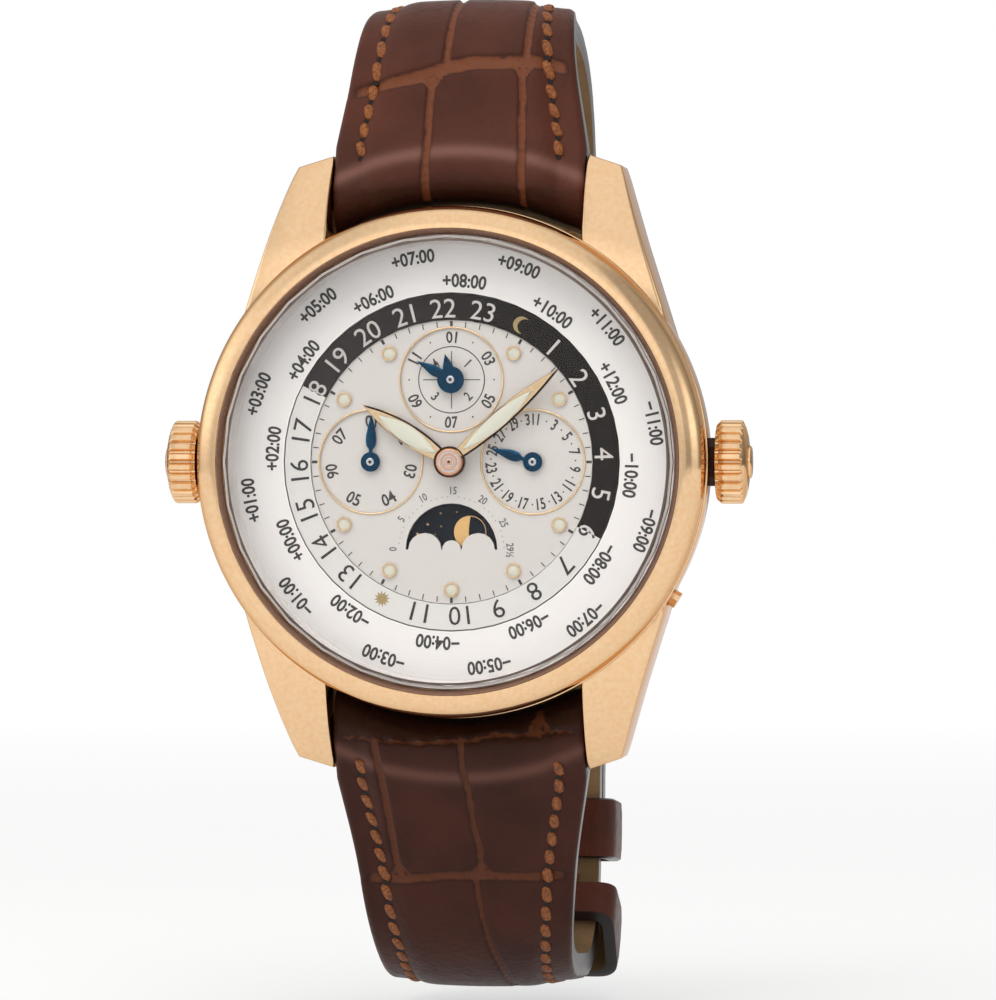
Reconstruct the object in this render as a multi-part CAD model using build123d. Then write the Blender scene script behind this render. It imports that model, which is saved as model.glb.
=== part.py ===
from build123d import *
import os
from math import cos, hypot, pi, radians, sin

# A world time wristwatch on a buckled leather strap, in millimetres.
# Bench frame while modelling: x to 3 o'clock, y to 12 o'clock, z from the case back toward the glass.
# The finished pieces are stood up at the end: +Z is 12 o'clock and the dial faces -Y.

# fits and cuts
overrun = 1.0             # how far a cutting tool runs past what it cuts
running_gap = 0.05        # radial play of a shaft in its bore
seat_gap = 0.03           # play between a pressed piece and its seat
wheel_gap = 0.05          # height between two wheels that pass over each other

# Round pieces that are hidden or tiny are many-sided, which keeps the model light.
ring_sides = 48
hidden_sides = 32
small_sides = 16
stud_sides = 10
pin_sides = 8

# case band
case_r = 20.5
band_top_z = 8.6
bore_r = 16.9             # inside of the band, round the movement

# lugs
lug_gap = 20.6
lug_out = 4.3             # the lug tip's inner corner beyond the band
lug_reach = case_r + lug_out
lug_tip_half = 12.75      # half width over the lug tips
lug_tip_drop = 0.8        # the tip's outer corner lies this far short of the inner one
lug_corner_half = 13.35
lug_corner_drop = 2.0
lug_root_deg = 33.0       # where the lug's outer edge leaves the band's circle
lug_crest_in = 6.0        # the top face starts to fall this far inside the band's radius
lug_crest_y = case_r - lug_crest_in
lug_mid_in = 0.3
lug_mid_y = case_r - lug_mid_in
lug_mid_z = 7.15
lug_tip_z = 3.3
lug_toe_out = 2.9
lug_toe_y = case_r + lug_toe_out
lug_toe_z = -0.9          # the lugs reach a little behind the case back
lug_belly_in = 2.9
lug_belly_y = case_r - lug_belly_in
bar_out = 1.5             # spring bar axis beyond the band
bar_y = case_r + bar_out
bar_z = 1.65
bar_r = 0.75
bar_end_r = 0.4
bar_end_depth = 1.0       # how far each bar end stands in its lug

# case back
back_ring_r = 18.6
back_flange = 0.9
back_window_r = 13.5
back_notches = 6
back_notch_w = 1.6
back_notch_d = 0.8
back_gasket_w = 0.4
back_gasket_h = 0.6

# bezel, glass and flange
bezel_step = 0.1          # the bezel stands in from the band by this
bezel_r = case_r - bezel_step
bezel_bore_r = 18.1
bezel_knee_in = 0.55      # where the bezel's steep flank turns over into its brow
bezel_knee_r = case_r - bezel_knee_in
bezel_knee_z = 11.2
bezel_lip_r = 18.4
bezel_lip_z = 12.3
glass_r = 17.7
glass_z = 11.0
glass_top_z = 12.2
glass_gasket_h = 0.9
flange_w = 0.6
flange_z = 9.05

# display rings and dial
ring_t = 0.4              # thickness of the city ring and the 24 hour ring
city_ring_r = 17.8
city_ring_bore_r = 13.49
hour_ring_r = 13.44
hour_ring_bore_r = 11.38
hour_ring_tip_r = 11.2    # bore at its inner teeth, under the dial
dial_r = 11.33
dial_z = 8.4
dial_t = 0.4
dial_foot_r = 0.4
dial_foot_at = 9.6
subdial_r = 4.17
subdial_sink = 0.12
subdial_offset = 6.56     # centres of the date and month dials from the watch centre
day_offset = 6.5
moon_offset = 7.0
moon_window_r = 3.7
moon_cloud_r = 1.33
moon_cloud_at = 2.15
moon_cloud_mid_r = 0.75
marker_r = 0.6
marker_at = 10.0
marker_low_at = 10.2      # the one at 6 o'clock sits a little further out
marker_h = 0.25
marker_hours = (1, 2, 4, 5, 6, 7, 8, 10, 11)

# plate, bridges and the ring that holds them
movement_ring_r = 16.85
movement_r = 14.8
movement_ring_foot_z = 1.8
plate_z = 6.0
plate_top_z = 6.9
bridge_z = 3.0
bridge_top_z = 4.2
bridge_split = 0.15       # half of the joint line between two bridges
bridge_split_y = 0.9
bridge_leg_r = 1.1
leg_at = 13.2
leg_barrel_degs = (60.0, 168.0)
leg_train_degs = (-12.0, -86.0)
leg_cock_deg = 186.0
cock_half = 1.9
cock_edge_x = -7.2

# centre stack
cannon_r = 0.55
cannon_bore_r = 0.25
hour_pipe_r = 1.0
dial_hole_r = 1.15
hour_hand_z = 9.5
minute_hand_z = 9.9
hand_t = 0.2
centre_cap_z = 10.35
hub_r = 1.25
centre_pin_r = 0.3

# hands: reach, widest half width and where it lies, tail half width at the hub
minute_reach = 11.6
minute_half = 0.72
minute_belly = 5.6
hour_reach = 8.4
hour_half = 0.82
hour_belly = 4.5
hand_root_half = 0.28
lume_inset = 0.2
lume_t = 0.12
lume_end_share = 0.42     # bare metal at each end of the lume field, as a share of the belly's place
minute_deg = 49.7         # clockwise from 12
hour_deg = -57.0
small_hand_z = 8.98
small_hand_t = 0.15
small_hub_r = 0.78
small_half = 0.3
small_root_half = 0.12
small_waist_share = 0.35  # where the spade begins, along the hand
day_reach = 3.9
date_reach = 3.64
month_reach = 3.16
leap_reach = 2.1
leap_hub_r = 1.08
leap_hand_z = 9.2
day_deg = 1.3
date_deg = -72.4
month_deg = -61.6
leap_deg = -12.5
small_arbor_r = 0.3
month_pipe_r = 0.45
leap_arbor_r = 0.2

# motion work and calendar layers, upward from the plate
wheel_t = 0.25
minute_wheel_z = 6.95
hour_wheel_z = 7.25
drive_z = 7.55
calendar_z = 7.9
motion_offset = 3.6       # minute wheel arbor from the centre
motion_deg = 150.0        # its direction, counter-clockwise from 3 o'clock
cannon_teeth = 8
minute_wheel_teeth = 24
minute_pinion_teeth = 6
hour_wheel_teeth = 24
drive_teeth = 18
idler_teeth = 9
hour_ring_teeth = 36
hour_ring_pitch_r = 11.52
idler_deg = 45.0
day_teeth = 7
date_teeth = 31
month_teeth = 12
leap_teeth = 4
star_r = 2.1
date_wheel_r = 2.7
leap_cam_r = 1.6
star_root_share = 0.72
moon_disc_r = 3.95
moon_arbor_r = 0.45

# tooth shape, as shares of the module
tip_share = 0.7
root_share = 1.2

# going train, between bridges and plate
train_t = 0.2
pinion_t = 0.4
arbor_r = 0.22
centre_wheel_teeth = 48
third_pinion_teeth = 6
third_wheel_teeth = 45
fourth_pinion_teeth = 6
fourth_wheel_teeth = 60
escape_pinion_teeth = 6
escape_teeth = 15
barrel_teeth = 42
centre_pinion_teeth = 6
centre_module = 0.22
third_module = 0.2
fourth_module = 0.14
barrel_module = 0.26
barrel_deg = 104.0        # directions, counter-clockwise from 3 o'clock
third_deg = -40.0
fourth_deg = -131.0       # seen from the third wheel
escape_deg = -165.0       # seen from the fourth wheel
balance_deg = 142.0       # seen from the escape wheel
escape_r = 2.3
escape_tooth_shares = ((1, 0), (0.9, 0.15), (0.7, 0.5))   # of the radius, of the pitch
balance_offset = 6.4      # from the escape wheel
balance_r = 4.2
balance_rim = 0.5
balance_z = 4.75
balance_t = 0.35
roller_r = 0.6
hairspring_z = 4.4
hairspring_in_r = 0.55
hairspring_out_r = 2.3
hairspring_turns = 3.0
hairspring_wire = 0.12
centre_wheel_z = 4.4
third_wheel_z = 5.0
fourth_wheel_z = 5.5
escape_z = 5.3
fork_z = 5.3
fork_half = 0.25
fork_place_share = 0.52   # the fork's axis on the line from the escape wheel to the balance
barrel_z = 4.85
barrel_top_z = 5.9
barrel_drum_r = 5.1
mainspring_wire = 0.25
mainspring_turns = 3.0
spoke_half = 0.25
spiral_steps = 10         # chords to each turn of a flat spring

# winding rotor
rotor_r = 13.4
rotor_rim = 2.2
rotor_z = 2.0
rotor_t = 0.35
rotor_rim_t = 0.65
rotor_boss_r = 2.2
bearing_r = 1.1
bearing_foot_z = 1.75

# crowns and stems
stem_z = 5.2
crown_r = 3.35
crown_groove = 0.25
crown_flutes = 24
crown_gap = 0.45          # between the pushed-in crown's inner face and the band
crown_foot = case_r + crown_gap
crown_len = 2.15
crown_dome_r = 2.7
crown_dome_h = 0.45
crown_boss_r = 1.3
crown_boss_h = 0.2
crown_bore_r = 2.12
crown_bore_d = 0.9
tube_r = 2.03
tube_bore_r = 0.75
tube_stand = 0.8          # the crown tubes stand out of the band by this
tube_out = case_r + tube_stand
stem_r = 0.6
stem_square = 0.7
stem_inner = 8.0
pinion_near = 9.5         # winding pinion, from the watch centre
pinion_far = 11.0
winding_pinion_r = 1.4
winding_pinion_teeth = 12
crown_pull = 1.2
city_teeth = 36
city_pinion_teeth = 6
city_gear_r = 16.45
city_gear_bore_r = 15.8
city_tooth_h = 1.0
city_tooth_share = 0.8    # root width of a face tooth, as a share of the pitch
city_leaf_share = 0.42    # the pinion's leaf beyond its pitch circle, of the face tooth's height
city_leaf_root_share = 0.67
city_pinion_face = 0.65
city_pinion_foot = 15.75

# correctors in the band's flank
corrector_r = 0.7
corrector_in = 17.45
corrector_stand = 0.5
corrector_out = case_r + corrector_stand
corrector_degs = (-32.0, 218.0)   # counter-clockwise from 3 o'clock

# strap
strap_lug_half = 10.0
strap_end_half = 8.1
strap_taper = 38.0        # the width is down to the end width this far from the bar
strap_lug_t = 4.7
strap_end_t = 2.5
strap_thin = 42.0
strap_case_gap = 0.25
strap_start = 1.9         # leather on the case side of the bar
strap_layer_gap = 0.2
loop_lower_deg = 15.0     # how far the lower half points back as it leaves the case
loop_upper_deg = 8.0
lower_run = 12.0
lower_bend_r = 11.6
lower_bend_deg = 70.0
floor_run = 5.0
corner_r = 9.5
corner_end_deg = 8.0      # the far side starts this far off parallel to the dial
far_lower_r = 120.0
far_upper_r = 100.0
far_upper_deg = 20.0
top_back_r = 12.0
top_deg = 4.0
top_bend_r = 6.5
upper_run = 8.5
bend_step_deg = 18.0      # one strap section for each such turn
bend_step = 7.0           # and for each such length of a bent stretch

# buckle and keepers
buckle_at = 60.0          # along the strap from the lower spring bar
buckle_bar_r = 0.7
buckle_end = 1.6          # leather beyond the bar
frame_inner_half = 8.75
frame_arm = 1.5
frame_len = 11.2
frame_t = 1.5
frame_end = 1.6
frame_lift = 2.6
tail_start = 1.0          # the tail reaches its full height this far above the buckle bar
tail_rise = 13.0          # length over which the tail climbs onto the buckle half
tail_steps = 4
tail_end_at = 34.0
tongue_half = 0.85
tongue_eye_r = 1.2
tongue_t = 0.75
tongue_rise = 4.25        # underside of the tongue above the bar axis where it leaves the leather
tongue_rest = 3.6         # underside where it rests over the frame's end
tongue_near = 0.3
tongue_slot_half = 1.1
tongue_slot_back = 1.7
tongue_slot_front = 1.8
keeper_wall = 1.2
fixed_keeper_at = 49.2
fixed_keeper_len = 5.2
fixed_keeper_gap = 0.3
free_keeper_from_deg = 30.0   # round the lower back corner
free_keeper_to_deg = 66.0
free_keeper_gap = 0.7
free_keeper_wall = 1.35


def round_face(radius, sides=0):
    return RegularPolygon(radius, sides) if sides else Circle(radius)


def disc(radius, low, high, x=0, y=0, sides=0):
    return Pos(x, y, low) * extrude(round_face(radius, sides), high - low)


def washer(outer, inner, low, high, sides=0):
    return Pos(0, 0, low) * extrude(round_face(outer, sides) - round_face(inner, sides), high - low)


def slab(points, low, high):
    outline = make_face(Polyline(*points, close=True))
    return Pos(0, 0, low) * extrude(outline, high - low, dir=(0, 0, 1))


def block(x0, x1, y0, y1, z0, z1):
    return Pos((x0 + x1) / 2, (y0 + y1) / 2, (z0 + z1) / 2) * Box(x1 - x0, y1 - y0, z1 - z0)


def turned(outline):
    """Turn an outline of (radius, height) points about the z axis."""
    return revolve(make_face(Polyline(*[(r, 0, z) for r, z in outline], close=True)), Axis.Z)


def post(radius, low, high, x=0, y=0, sides=pin_sides):
    return disc(radius, low, high, x, y, sides)


def bore(radius, low, high, x=0, y=0, sides=pin_sides, play=running_gap):
    """A many-sided cutter whose flats keep some play off a pin of that radius."""
    return disc((radius + play) / cos(pi / sides), low - overrun, high + overrun, x, y, sides)


def at_angle(radius, deg, x=0, y=0):
    """Point at an angle counter-clockwise from 3 o'clock."""
    return x + radius * cos(radians(deg)), y + radius * sin(radians(deg))


def clock(deg):
    """Clockwise from 12 to counter-clockwise from 3."""
    return 90 - deg


def along_x(solid, side=1):
    """Lay a solid that points up the z axis along +x or -x, at the height of the stems."""
    return Pos(0, 0, stem_z) * Rot(0, 90 * side, 0) * solid


def tooth_points(teeth, tip_r, root_r, turn=0):
    points = []
    for k in range(teeth):
        points.append(at_angle(tip_r, turn + 360 * k / teeth))
        points.append(at_angle(root_r, turn + 360 * (k + 0.5) / teeth))
    return points


def toothed(teeth, module, low, high, turn=0, x=0, y=0):
    pitch_r = teeth * module / 2
    points = tooth_points(teeth, pitch_r + tip_share * module, pitch_r - root_share * module, turn)
    return Pos(x, y) * slab(points, low, high)


def meshed_turn(deg, turn, teeth, next_teeth):
    """Turn of a wheel that meshes with its neighbour seen at an angle from that neighbour."""
    off = turn - deg
    return deg + 180 - off * teeth / next_teeth + 180 / next_teeth


# Places of the wheels, worked out from their modules.
barrel_xy = at_angle(barrel_module * (barrel_teeth + centre_pinion_teeth) / 2, barrel_deg)
third_xy = at_angle(centre_module * (centre_wheel_teeth + third_pinion_teeth) / 2, third_deg)
fourth_xy = at_angle(third_module * (third_wheel_teeth + fourth_pinion_teeth) / 2, fourth_deg, *third_xy)
escape_xy = at_angle(fourth_module * (fourth_wheel_teeth + escape_pinion_teeth) / 2, escape_deg, *fourth_xy)
balance_xy = at_angle(balance_offset, balance_deg, *escape_xy)
fork_xy = at_angle(balance_offset * fork_place_share, balance_deg, *escape_xy)
motion_xy = at_angle(motion_offset, motion_deg)
motion_module = 2 * motion_offset / (cannon_teeth + minute_wheel_teeth)
hour_module = 2 * motion_offset / (minute_pinion_teeth + hour_wheel_teeth)
ring_module = 2 * hour_ring_pitch_r / hour_ring_teeth
idler_xy = at_angle(ring_module * (drive_teeth + idler_teeth) / 2, idler_deg)
dial_top = dial_z + dial_t
dial_feet = [at_angle(dial_foot_at, deg) for deg in (128.0, 218.0, -52.0)]
day_xy, date_xy = (-day_offset, 0), (subdial_offset, 0)
month_xy, moon_xy = (0, subdial_offset), (0, -moon_offset)


def case_middle():
    band = disc(case_r, back_flange, band_top_z)
    band -= post(bore_r, back_flange - overrun, band_top_z + overrun, sides=hidden_sides)
    root_x, root_y = at_angle(case_r, lug_root_deg)
    half_gap = lug_gap / 2
    plan = slab([
        (half_gap, root_y), (half_gap, lug_reach), (lug_tip_half, lug_reach - lug_tip_drop),
        (lug_corner_half, lug_reach - lug_corner_drop), (root_x, root_y),
    ], lug_toe_z, band_top_z)
    side = Plane.YZ * make_face(
        Polyline((lug_belly_y, back_flange), (root_y, back_flange), (root_y, band_top_z),
                 (lug_crest_y, band_top_z))
        + ThreePointArc((lug_crest_y, band_top_z), (lug_mid_y, lug_mid_z), (lug_reach, lug_tip_z))
        + ThreePointArc((lug_reach, lug_tip_z), (lug_reach + bar_end_r / 2, bar_z - bar_r),
                        (lug_toe_y, lug_toe_z))
        + Line((lug_toe_y, lug_toe_z), (lug_belly_y, back_flange))
    )
    lug = plan & extrude(side, case_r, dir=(1, 0, 0))
    hole = Pos(0, bar_y, bar_z) * Rot(0, 90, 0) * post(
        bar_end_r + running_gap, 0, half_gap + bar_end_depth + running_gap)
    lug = lug - hole - disc(bore_r + overrun, lug_toe_z, band_top_z)
    pair = [lug, mirror(lug, Plane.YZ)]
    body = band.fuse(*pair, *[mirror(one, Plane.XZ) for one in pair])
    tube_hole = post(tube_r + seat_gap, bore_r - overrun, case_r + overrun, sides=stud_sides)
    for side_sign in (1, -1):
        body -= along_x(tube_hole, side_sign)
    for deg in corrector_degs:
        body -= Pos(0, 0, stem_z) * Rot(0, 0, deg) * Rot(0, 90, 0) * post(
            corrector_r + running_gap, bore_r - overrun, case_r + overrun, sides=stud_sides)
    return body


def bezel():
    return turned([
        (bezel_bore_r, band_top_z), (bezel_r, band_top_z), (bezel_knee_r, bezel_knee_z),
        (bezel_lip_r, bezel_lip_z),
    ])


def crystal():
    return disc(glass_r, glass_z, glass_top_z)


def dial_flange():
    """A sloping ring between the outer display ring and the glass."""
    outer = bezel_bore_r - seat_gap
    cone = loft([Pos(0, 0, flange_z) * RegularPolygon(outer - flange_w, ring_sides),
                 Pos(0, 0, glass_z) * RegularPolygon(outer - seat_gap, ring_sides)], ruled=True)
    return post(outer, flange_z, glass_z, sides=ring_sides) - cone


def case_back_ring():
    ring = post(back_ring_r, 0, back_flange, sides=ring_sides)
    ring -= post(back_window_r, -overrun, back_flange + overrun, sides=ring_sides)
    for k in range(back_notches):
        notch = block(back_ring_r - back_notch_d, back_ring_r + overrun,
                      -back_notch_w / 2, back_notch_w / 2, -overrun, back_flange / 2)
        ring -= Rot(0, 0, 360 * (k + 0.5) / back_notches) * notch
    return ring


def case_back_glass():
    return post(back_window_r - seat_gap, 0, back_flange, sides=ring_sides)


def gaskets():
    """Two sealing rings: one round the glass, one inside the band on the case back."""
    middle = (bezel_bore_r + glass_r) / 2
    half = (bezel_bore_r - glass_r) / 4
    front = washer(middle + half, middle - half, glass_z, glass_z + glass_gasket_h, hidden_sides)
    outer = bore_r - seat_gap
    back = washer(outer, outer - back_gasket_w, back_flange, back_flange + back_gasket_h, hidden_sides)
    return Compound(children=[front.solids()[0], back.solids()[0]])


def strap_bars():
    """The two spring bars between the lugs and the plain bar of the buckle."""
    half = lug_gap / 2 - running_gap
    bars = []
    for side_sign in (1, -1):
        bar = Rot(0, 90, 0) * (post(bar_r, -half, half, sides=stud_sides)
                               + post(bar_end_r, -half - bar_end_depth, half + bar_end_depth))
        bars.append(Pos(0, side_sign * bar_y, bar_z) * bar)
    half = frame_inner_half + frame_arm
    bars.append(loop_plane(buckle_at) * Rot(0, 90, 0) * post(buckle_bar_r, -half, half, sides=stud_sides))
    return Compound(children=[part.solids()[0] for part in bars])


def city_ring():
    low = band_top_z + running_gap
    ring = washer(city_ring_r, city_ring_bore_r + running_gap, low, low + ring_t - running_gap, ring_sides)
    pitch = 2 * pi * (city_gear_r + city_gear_bore_r) / 2 / city_teeth
    half = city_tooth_share * pitch / 2
    sink = ring_t / 4
    outline = Plane.YZ * make_face(Polyline(
        (-half, low + sink), (-half, low), (0, low - city_tooth_h), (half, low), (half, low + sink),
        close=True))
    tooth = Pos(city_gear_bore_r) * extrude(outline, city_gear_r - city_gear_bore_r, dir=(1, 0, 0))
    teeth = [Rot(0, 0, 180 + 360 * (k + 0.5) / city_teeth) * tooth for k in range(city_teeth)]
    return ring.fuse(*teeth)


def hour_ring():
    low, top = band_top_z + running_gap, band_top_z + ring_t
    gear = tooth_points(hour_ring_teeth, hour_ring_pitch_r - tip_share * ring_module,
                        hour_ring_pitch_r + root_share * ring_module, idler_deg + meshed_idler_offset())
    ring = post(hour_ring_r, drive_z, top, sides=ring_sides)
    ring -= post(hour_ring_tip_r, drive_z - overrun, dial_z, sides=ring_sides)
    ring -= post(hour_ring_bore_r, dial_z - wheel_gap, top + overrun, sides=ring_sides)
    return ring - slab(gear, drive_z - overrun, low)


def drive_turn():
    return idler_deg


def idler_turn():
    return meshed_turn(idler_deg, drive_turn(), drive_teeth, idler_teeth)


def meshed_idler_offset():
    """Turn of the ring's teeth from the line through the idler, so that they stand in its gaps."""
    off = (idler_turn() - idler_deg) % (360 / idler_teeth)
    return off * idler_teeth / hour_ring_teeth + 180 / hour_ring_teeth


def main_dial():
    dial = post(dial_r, dial_z, dial_top, sides=ring_sides)
    floor = dial_top - subdial_sink
    for x, y in (day_xy, date_xy, month_xy):
        dial -= post(subdial_r, floor, dial_top + overrun, x, y, 2 * small_sides)
    window = post(moon_window_r, dial_z - overrun, dial_top + overrun, *moon_xy, 2 * small_sides)
    window &= block(-moon_window_r, moon_window_r, -moon_offset, 0, dial_z - overrun, dial_top + overrun)
    for x, radius in ((-moon_cloud_at, moon_cloud_r), (moon_cloud_at, moon_cloud_r), (0, moon_cloud_mid_r)):
        window -= post(radius, dial_z - overrun, dial_top + overrun, x, -moon_offset, small_sides)
    dial -= window
    dial -= post(dial_hole_r, dial_z - overrun, dial_top + overrun, sides=small_sides)
    for (x, y), radius in ((day_xy, small_arbor_r), (date_xy, small_arbor_r), (month_xy, month_pipe_r)):
        dial -= post(radius + 2 * running_gap, dial_z - overrun, dial_top + overrun, x, y)
    for x, y in dial_feet:
        dial += post(dial_foot_r, plate_top_z, dial_z, x, y)
    return dial


def hour_markers():
    studs = []
    for hour in marker_hours:
        reach = marker_low_at if hour == 6 else marker_at
        x, y = at_angle(reach, clock(30 * hour))
        studs.append(post(marker_r, dial_top, dial_top + marker_h, x, y).solids()[0])
    return Compound(children=studs)


def leaf(reach, belly, half, root_half, low, high):
    """A leaf-shaped blade pointing along +y, from the hub to its tip."""
    right = ThreePointArc((root_half, 0), (half, belly), (0, reach))
    left = ThreePointArc((0, reach), (-half, belly), (-root_half, 0))
    blade = make_face(right + left + Line((-root_half, 0), (root_half, 0)))
    return Pos(0, 0, low) * extrude(blade, high - low, dir=(0, 0, 1))


def lume_pocket(reach, belly, half, low, high):
    """The sunk field for luminous paint, an inset of the leaf that stops short of hub and tip."""
    near = belly * lume_end_share
    far = reach - near
    inner = half - lume_inset
    right = ThreePointArc((0, near), (inner, belly), (0, far))
    left = ThreePointArc((0, far), (-inner, belly), (0, near))
    blade = make_face(right + left)
    return Pos(0, 0, low) * extrude(blade, high - low, dir=(0, 0, 1))


def big_hand(reach, belly, half, low, deg, pipe_r):
    hand = leaf(reach, belly, half, hand_root_half, low, low + hand_t)
    hand += post(hub_r, low, low + hand_t, sides=small_sides)
    pocket = lume_pocket(reach, belly, half, low + hand_t - lume_t, low + hand_t + overrun)
    return Rot(0, 0, -deg) * (hand - pocket - bore(pipe_r, low, low + hand_t, sides=stud_sides, play=0))


def hour_hand():
    return big_hand(hour_reach, hour_belly, hour_half, hour_hand_z, hour_deg, hour_pipe_r)


def minute_hand():
    return big_hand(minute_reach, minute_belly, minute_half, minute_hand_z, minute_deg, cannon_r)


def cannon_turn():
    return motion_deg


def cannon_pinion():
    pipe = post(cannon_r - seat_gap, minute_wheel_z, centre_cap_z, sides=stud_sides)
    leaves = toothed(cannon_teeth, motion_module, minute_wheel_z, minute_wheel_z + wheel_t, cannon_turn())
    cap = post(centre_pin_r + cannon_r, minute_hand_z + hand_t, centre_cap_z, sides=small_sides)
    arbor_hole = post(cannon_bore_r + seat_gap, minute_wheel_z - overrun, minute_hand_z)
    return pipe + leaves + cap - arbor_hole


def hour_wheel():
    pipe = post(hour_pipe_r - seat_gap, hour_wheel_z, hour_hand_z + hand_t, sides=stud_sides)
    pinion_turn = motion_deg
    turn = meshed_turn(motion_deg + 180, pinion_turn, minute_pinion_teeth, hour_wheel_teeth)
    wheel = toothed(hour_wheel_teeth, hour_module, hour_wheel_z, hour_wheel_z + wheel_t, turn)
    drive = toothed(drive_teeth, ring_module, drive_z, drive_z + wheel_t, drive_turn())
    return pipe + wheel + drive - bore(cannon_r, hour_wheel_z, hour_hand_z, sides=stud_sides, play=0)


def minute_wheel():
    x, y = motion_xy
    turn = meshed_turn(motion_deg, cannon_turn(), cannon_teeth, minute_wheel_teeth)
    wheel = toothed(minute_wheel_teeth, motion_module, minute_wheel_z, minute_wheel_z + wheel_t, turn)
    leaves = toothed(minute_pinion_teeth, hour_module, hour_wheel_z - wheel_gap,
                     hour_wheel_z + wheel_t, motion_deg)
    pivot = post(arbor_r, plate_top_z - running_gap, drive_z - wheel_gap)
    return Pos(x, y) * (wheel + leaves + pivot)


def ring_idler():
    x, y = idler_xy
    wheel = toothed(idler_teeth, ring_module, drive_z, drive_z + wheel_t, idler_turn())
    return Pos(x, y) * (wheel + post(2 * arbor_r, plate_top_z + running_gap, drive_z))


def small_hand(reach, hub, low, deg, pipe_r):
    """A slim spade hand with a short tail and a round hub."""
    waist = reach * small_waist_share
    outline = [(-small_root_half, 0), (-small_root_half, waist), (-small_half, waist + small_half),
               (-small_root_half, waist + 3 * small_half), (0, reach),
               (small_root_half, waist + 3 * small_half), (small_half, waist + small_half),
               (small_root_half, waist), (small_root_half, 0)]
    hand = slab(outline, low, low + small_hand_t)
    hand += post(hub, low, low + small_hand_t, sides=stud_sides)
    return Rot(0, 0, -deg) * (hand - bore(pipe_r, low, low + small_hand_t, play=0))


def star(teeth, radius, low, high):
    return slab(tooth_points(teeth, radius, star_root_share * radius), low, high)


def day_hand():
    return Pos(*day_xy) * small_hand(day_reach, small_hub_r, small_hand_z, day_deg, small_arbor_r)


def date_hand():
    return Pos(*date_xy) * small_hand(date_reach, small_hub_r, small_hand_z, date_deg, small_arbor_r)


def month_hand():
    return Pos(*month_xy) * small_hand(month_reach, small_hub_r, small_hand_z, month_deg, month_pipe_r)


def leap_hand():
    return Pos(*month_xy) * small_hand(leap_reach, leap_hub_r, leap_hand_z, leap_deg, leap_arbor_r)


def calendar_wheel(xy, teeth, radius):
    """A calendar star on the arbor that carries its hand and stands on the plate."""
    wheel = star(teeth, radius, calendar_z, calendar_z + wheel_t)
    top = small_hand_z + 2 * small_hand_t
    arbor = post(small_arbor_r - seat_gap, plate_top_z + running_gap, top)
    return Pos(*xy) * (wheel + arbor)


def day_star():
    return calendar_wheel(day_xy, day_teeth, star_r)


def date_wheel():
    return calendar_wheel(date_xy, date_teeth, date_wheel_r)


def month_star():
    pipe = post(month_pipe_r - seat_gap, calendar_z, small_hand_z + small_hand_t)
    wheel = star(month_teeth, star_r, calendar_z, calendar_z + wheel_t)
    return Pos(*month_xy) * (pipe + wheel - bore(leap_arbor_r, calendar_z, small_hand_z, play=0))


def leap_cam():
    cam = star(leap_teeth, leap_cam_r, hour_wheel_z - wheel_t / 2, hour_wheel_z + wheel_t / 2)
    arbor = post(leap_arbor_r - seat_gap, plate_top_z + running_gap, leap_hand_z + 2 * small_hand_t)
    return Pos(*month_xy) * (cam + arbor)


def moon_disc():
    return Pos(*moon_xy) * (post(moon_disc_r, calendar_z, calendar_z + wheel_t, sides=2 * small_sides)
                            + post(moon_arbor_r, plate_top_z + running_gap, calendar_z))


def movement_ring():
    ring = washer(movement_ring_r, movement_r + seat_gap, movement_ring_foot_z, plate_top_z, hidden_sides)
    notch = block(-bore_r, 0, -crown_r, crown_r, movement_ring_foot_z - overrun, plate_top_z + overrun)
    ring -= notch
    ring -= along_x(post(stem_r + 2 * running_gap, movement_r - overrun, bore_r + overrun, sides=stud_sides))
    return ring


def main_plate():
    plate = disc(movement_r, plate_z, plate_top_z, sides=hidden_sides)
    plate -= post(cannon_r, plate_z - overrun, plate_top_z + overrun, sides=stud_sides)
    plate -= block(pinion_near - running_gap, pinion_far + running_gap, -winding_pinion_r - running_gap,
                   winding_pinion_r + running_gap, plate_z - overrun, plate_top_z + overrun)
    plate -= post(arbor_r + running_gap, plate_top_z - 2 * running_gap, plate_top_z + overrun, *motion_xy)
    return plate


def bridge_blank():
    return disc(movement_r, bridge_z, bridge_top_z, sides=hidden_sides)


def balance_well():
    return post(balance_r + 4 * running_gap, bridge_z - overrun, bridge_top_z + overrun,
                *balance_xy, 2 * small_sides)


def barrel_bridge():
    """Upper half: carries the barrel, and keeps clear of the winding pinion."""
    half = bridge_blank() & block(-movement_r, movement_r, bridge_split_y + bridge_split, movement_r,
                                  bridge_z, bridge_top_z)
    half -= post(bearing_r + seat_gap, bridge_z - overrun, bridge_top_z + overrun, sides=small_sides)
    half -= block(pinion_near - running_gap, pinion_far + running_gap, 0, winding_pinion_r + running_gap,
                  bridge_z - overrun, bridge_top_z + overrun)
    for deg in leg_barrel_degs:
        half += post(bridge_leg_r, bridge_top_z, plate_z, *at_angle(leg_at, deg))
    return half


def train_bridge():
    """Lower half without the balance's well: carries the train and the rotor bearing."""
    half = bridge_blank() & block(-movement_r, movement_r, -movement_r, bridge_split_y - bridge_split,
                                  bridge_z, bridge_top_z)
    half = half - balance_well() - block(-movement_r, cock_edge_x, -movement_r, bridge_split_y,
                                         bridge_z - overrun, bridge_top_z + overrun)
    half -= post(bearing_r + seat_gap, bridge_z - overrun, bridge_top_z + overrun, sides=small_sides)
    half -= block(pinion_near - running_gap, pinion_far + running_gap, -winding_pinion_r - running_gap,
                  bridge_split_y, bridge_z - overrun, bridge_top_z + overrun)
    for deg in leg_train_degs:
        half += post(bridge_leg_r, bridge_top_z, plate_z, *at_angle(leg_at, deg))
    return half


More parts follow.
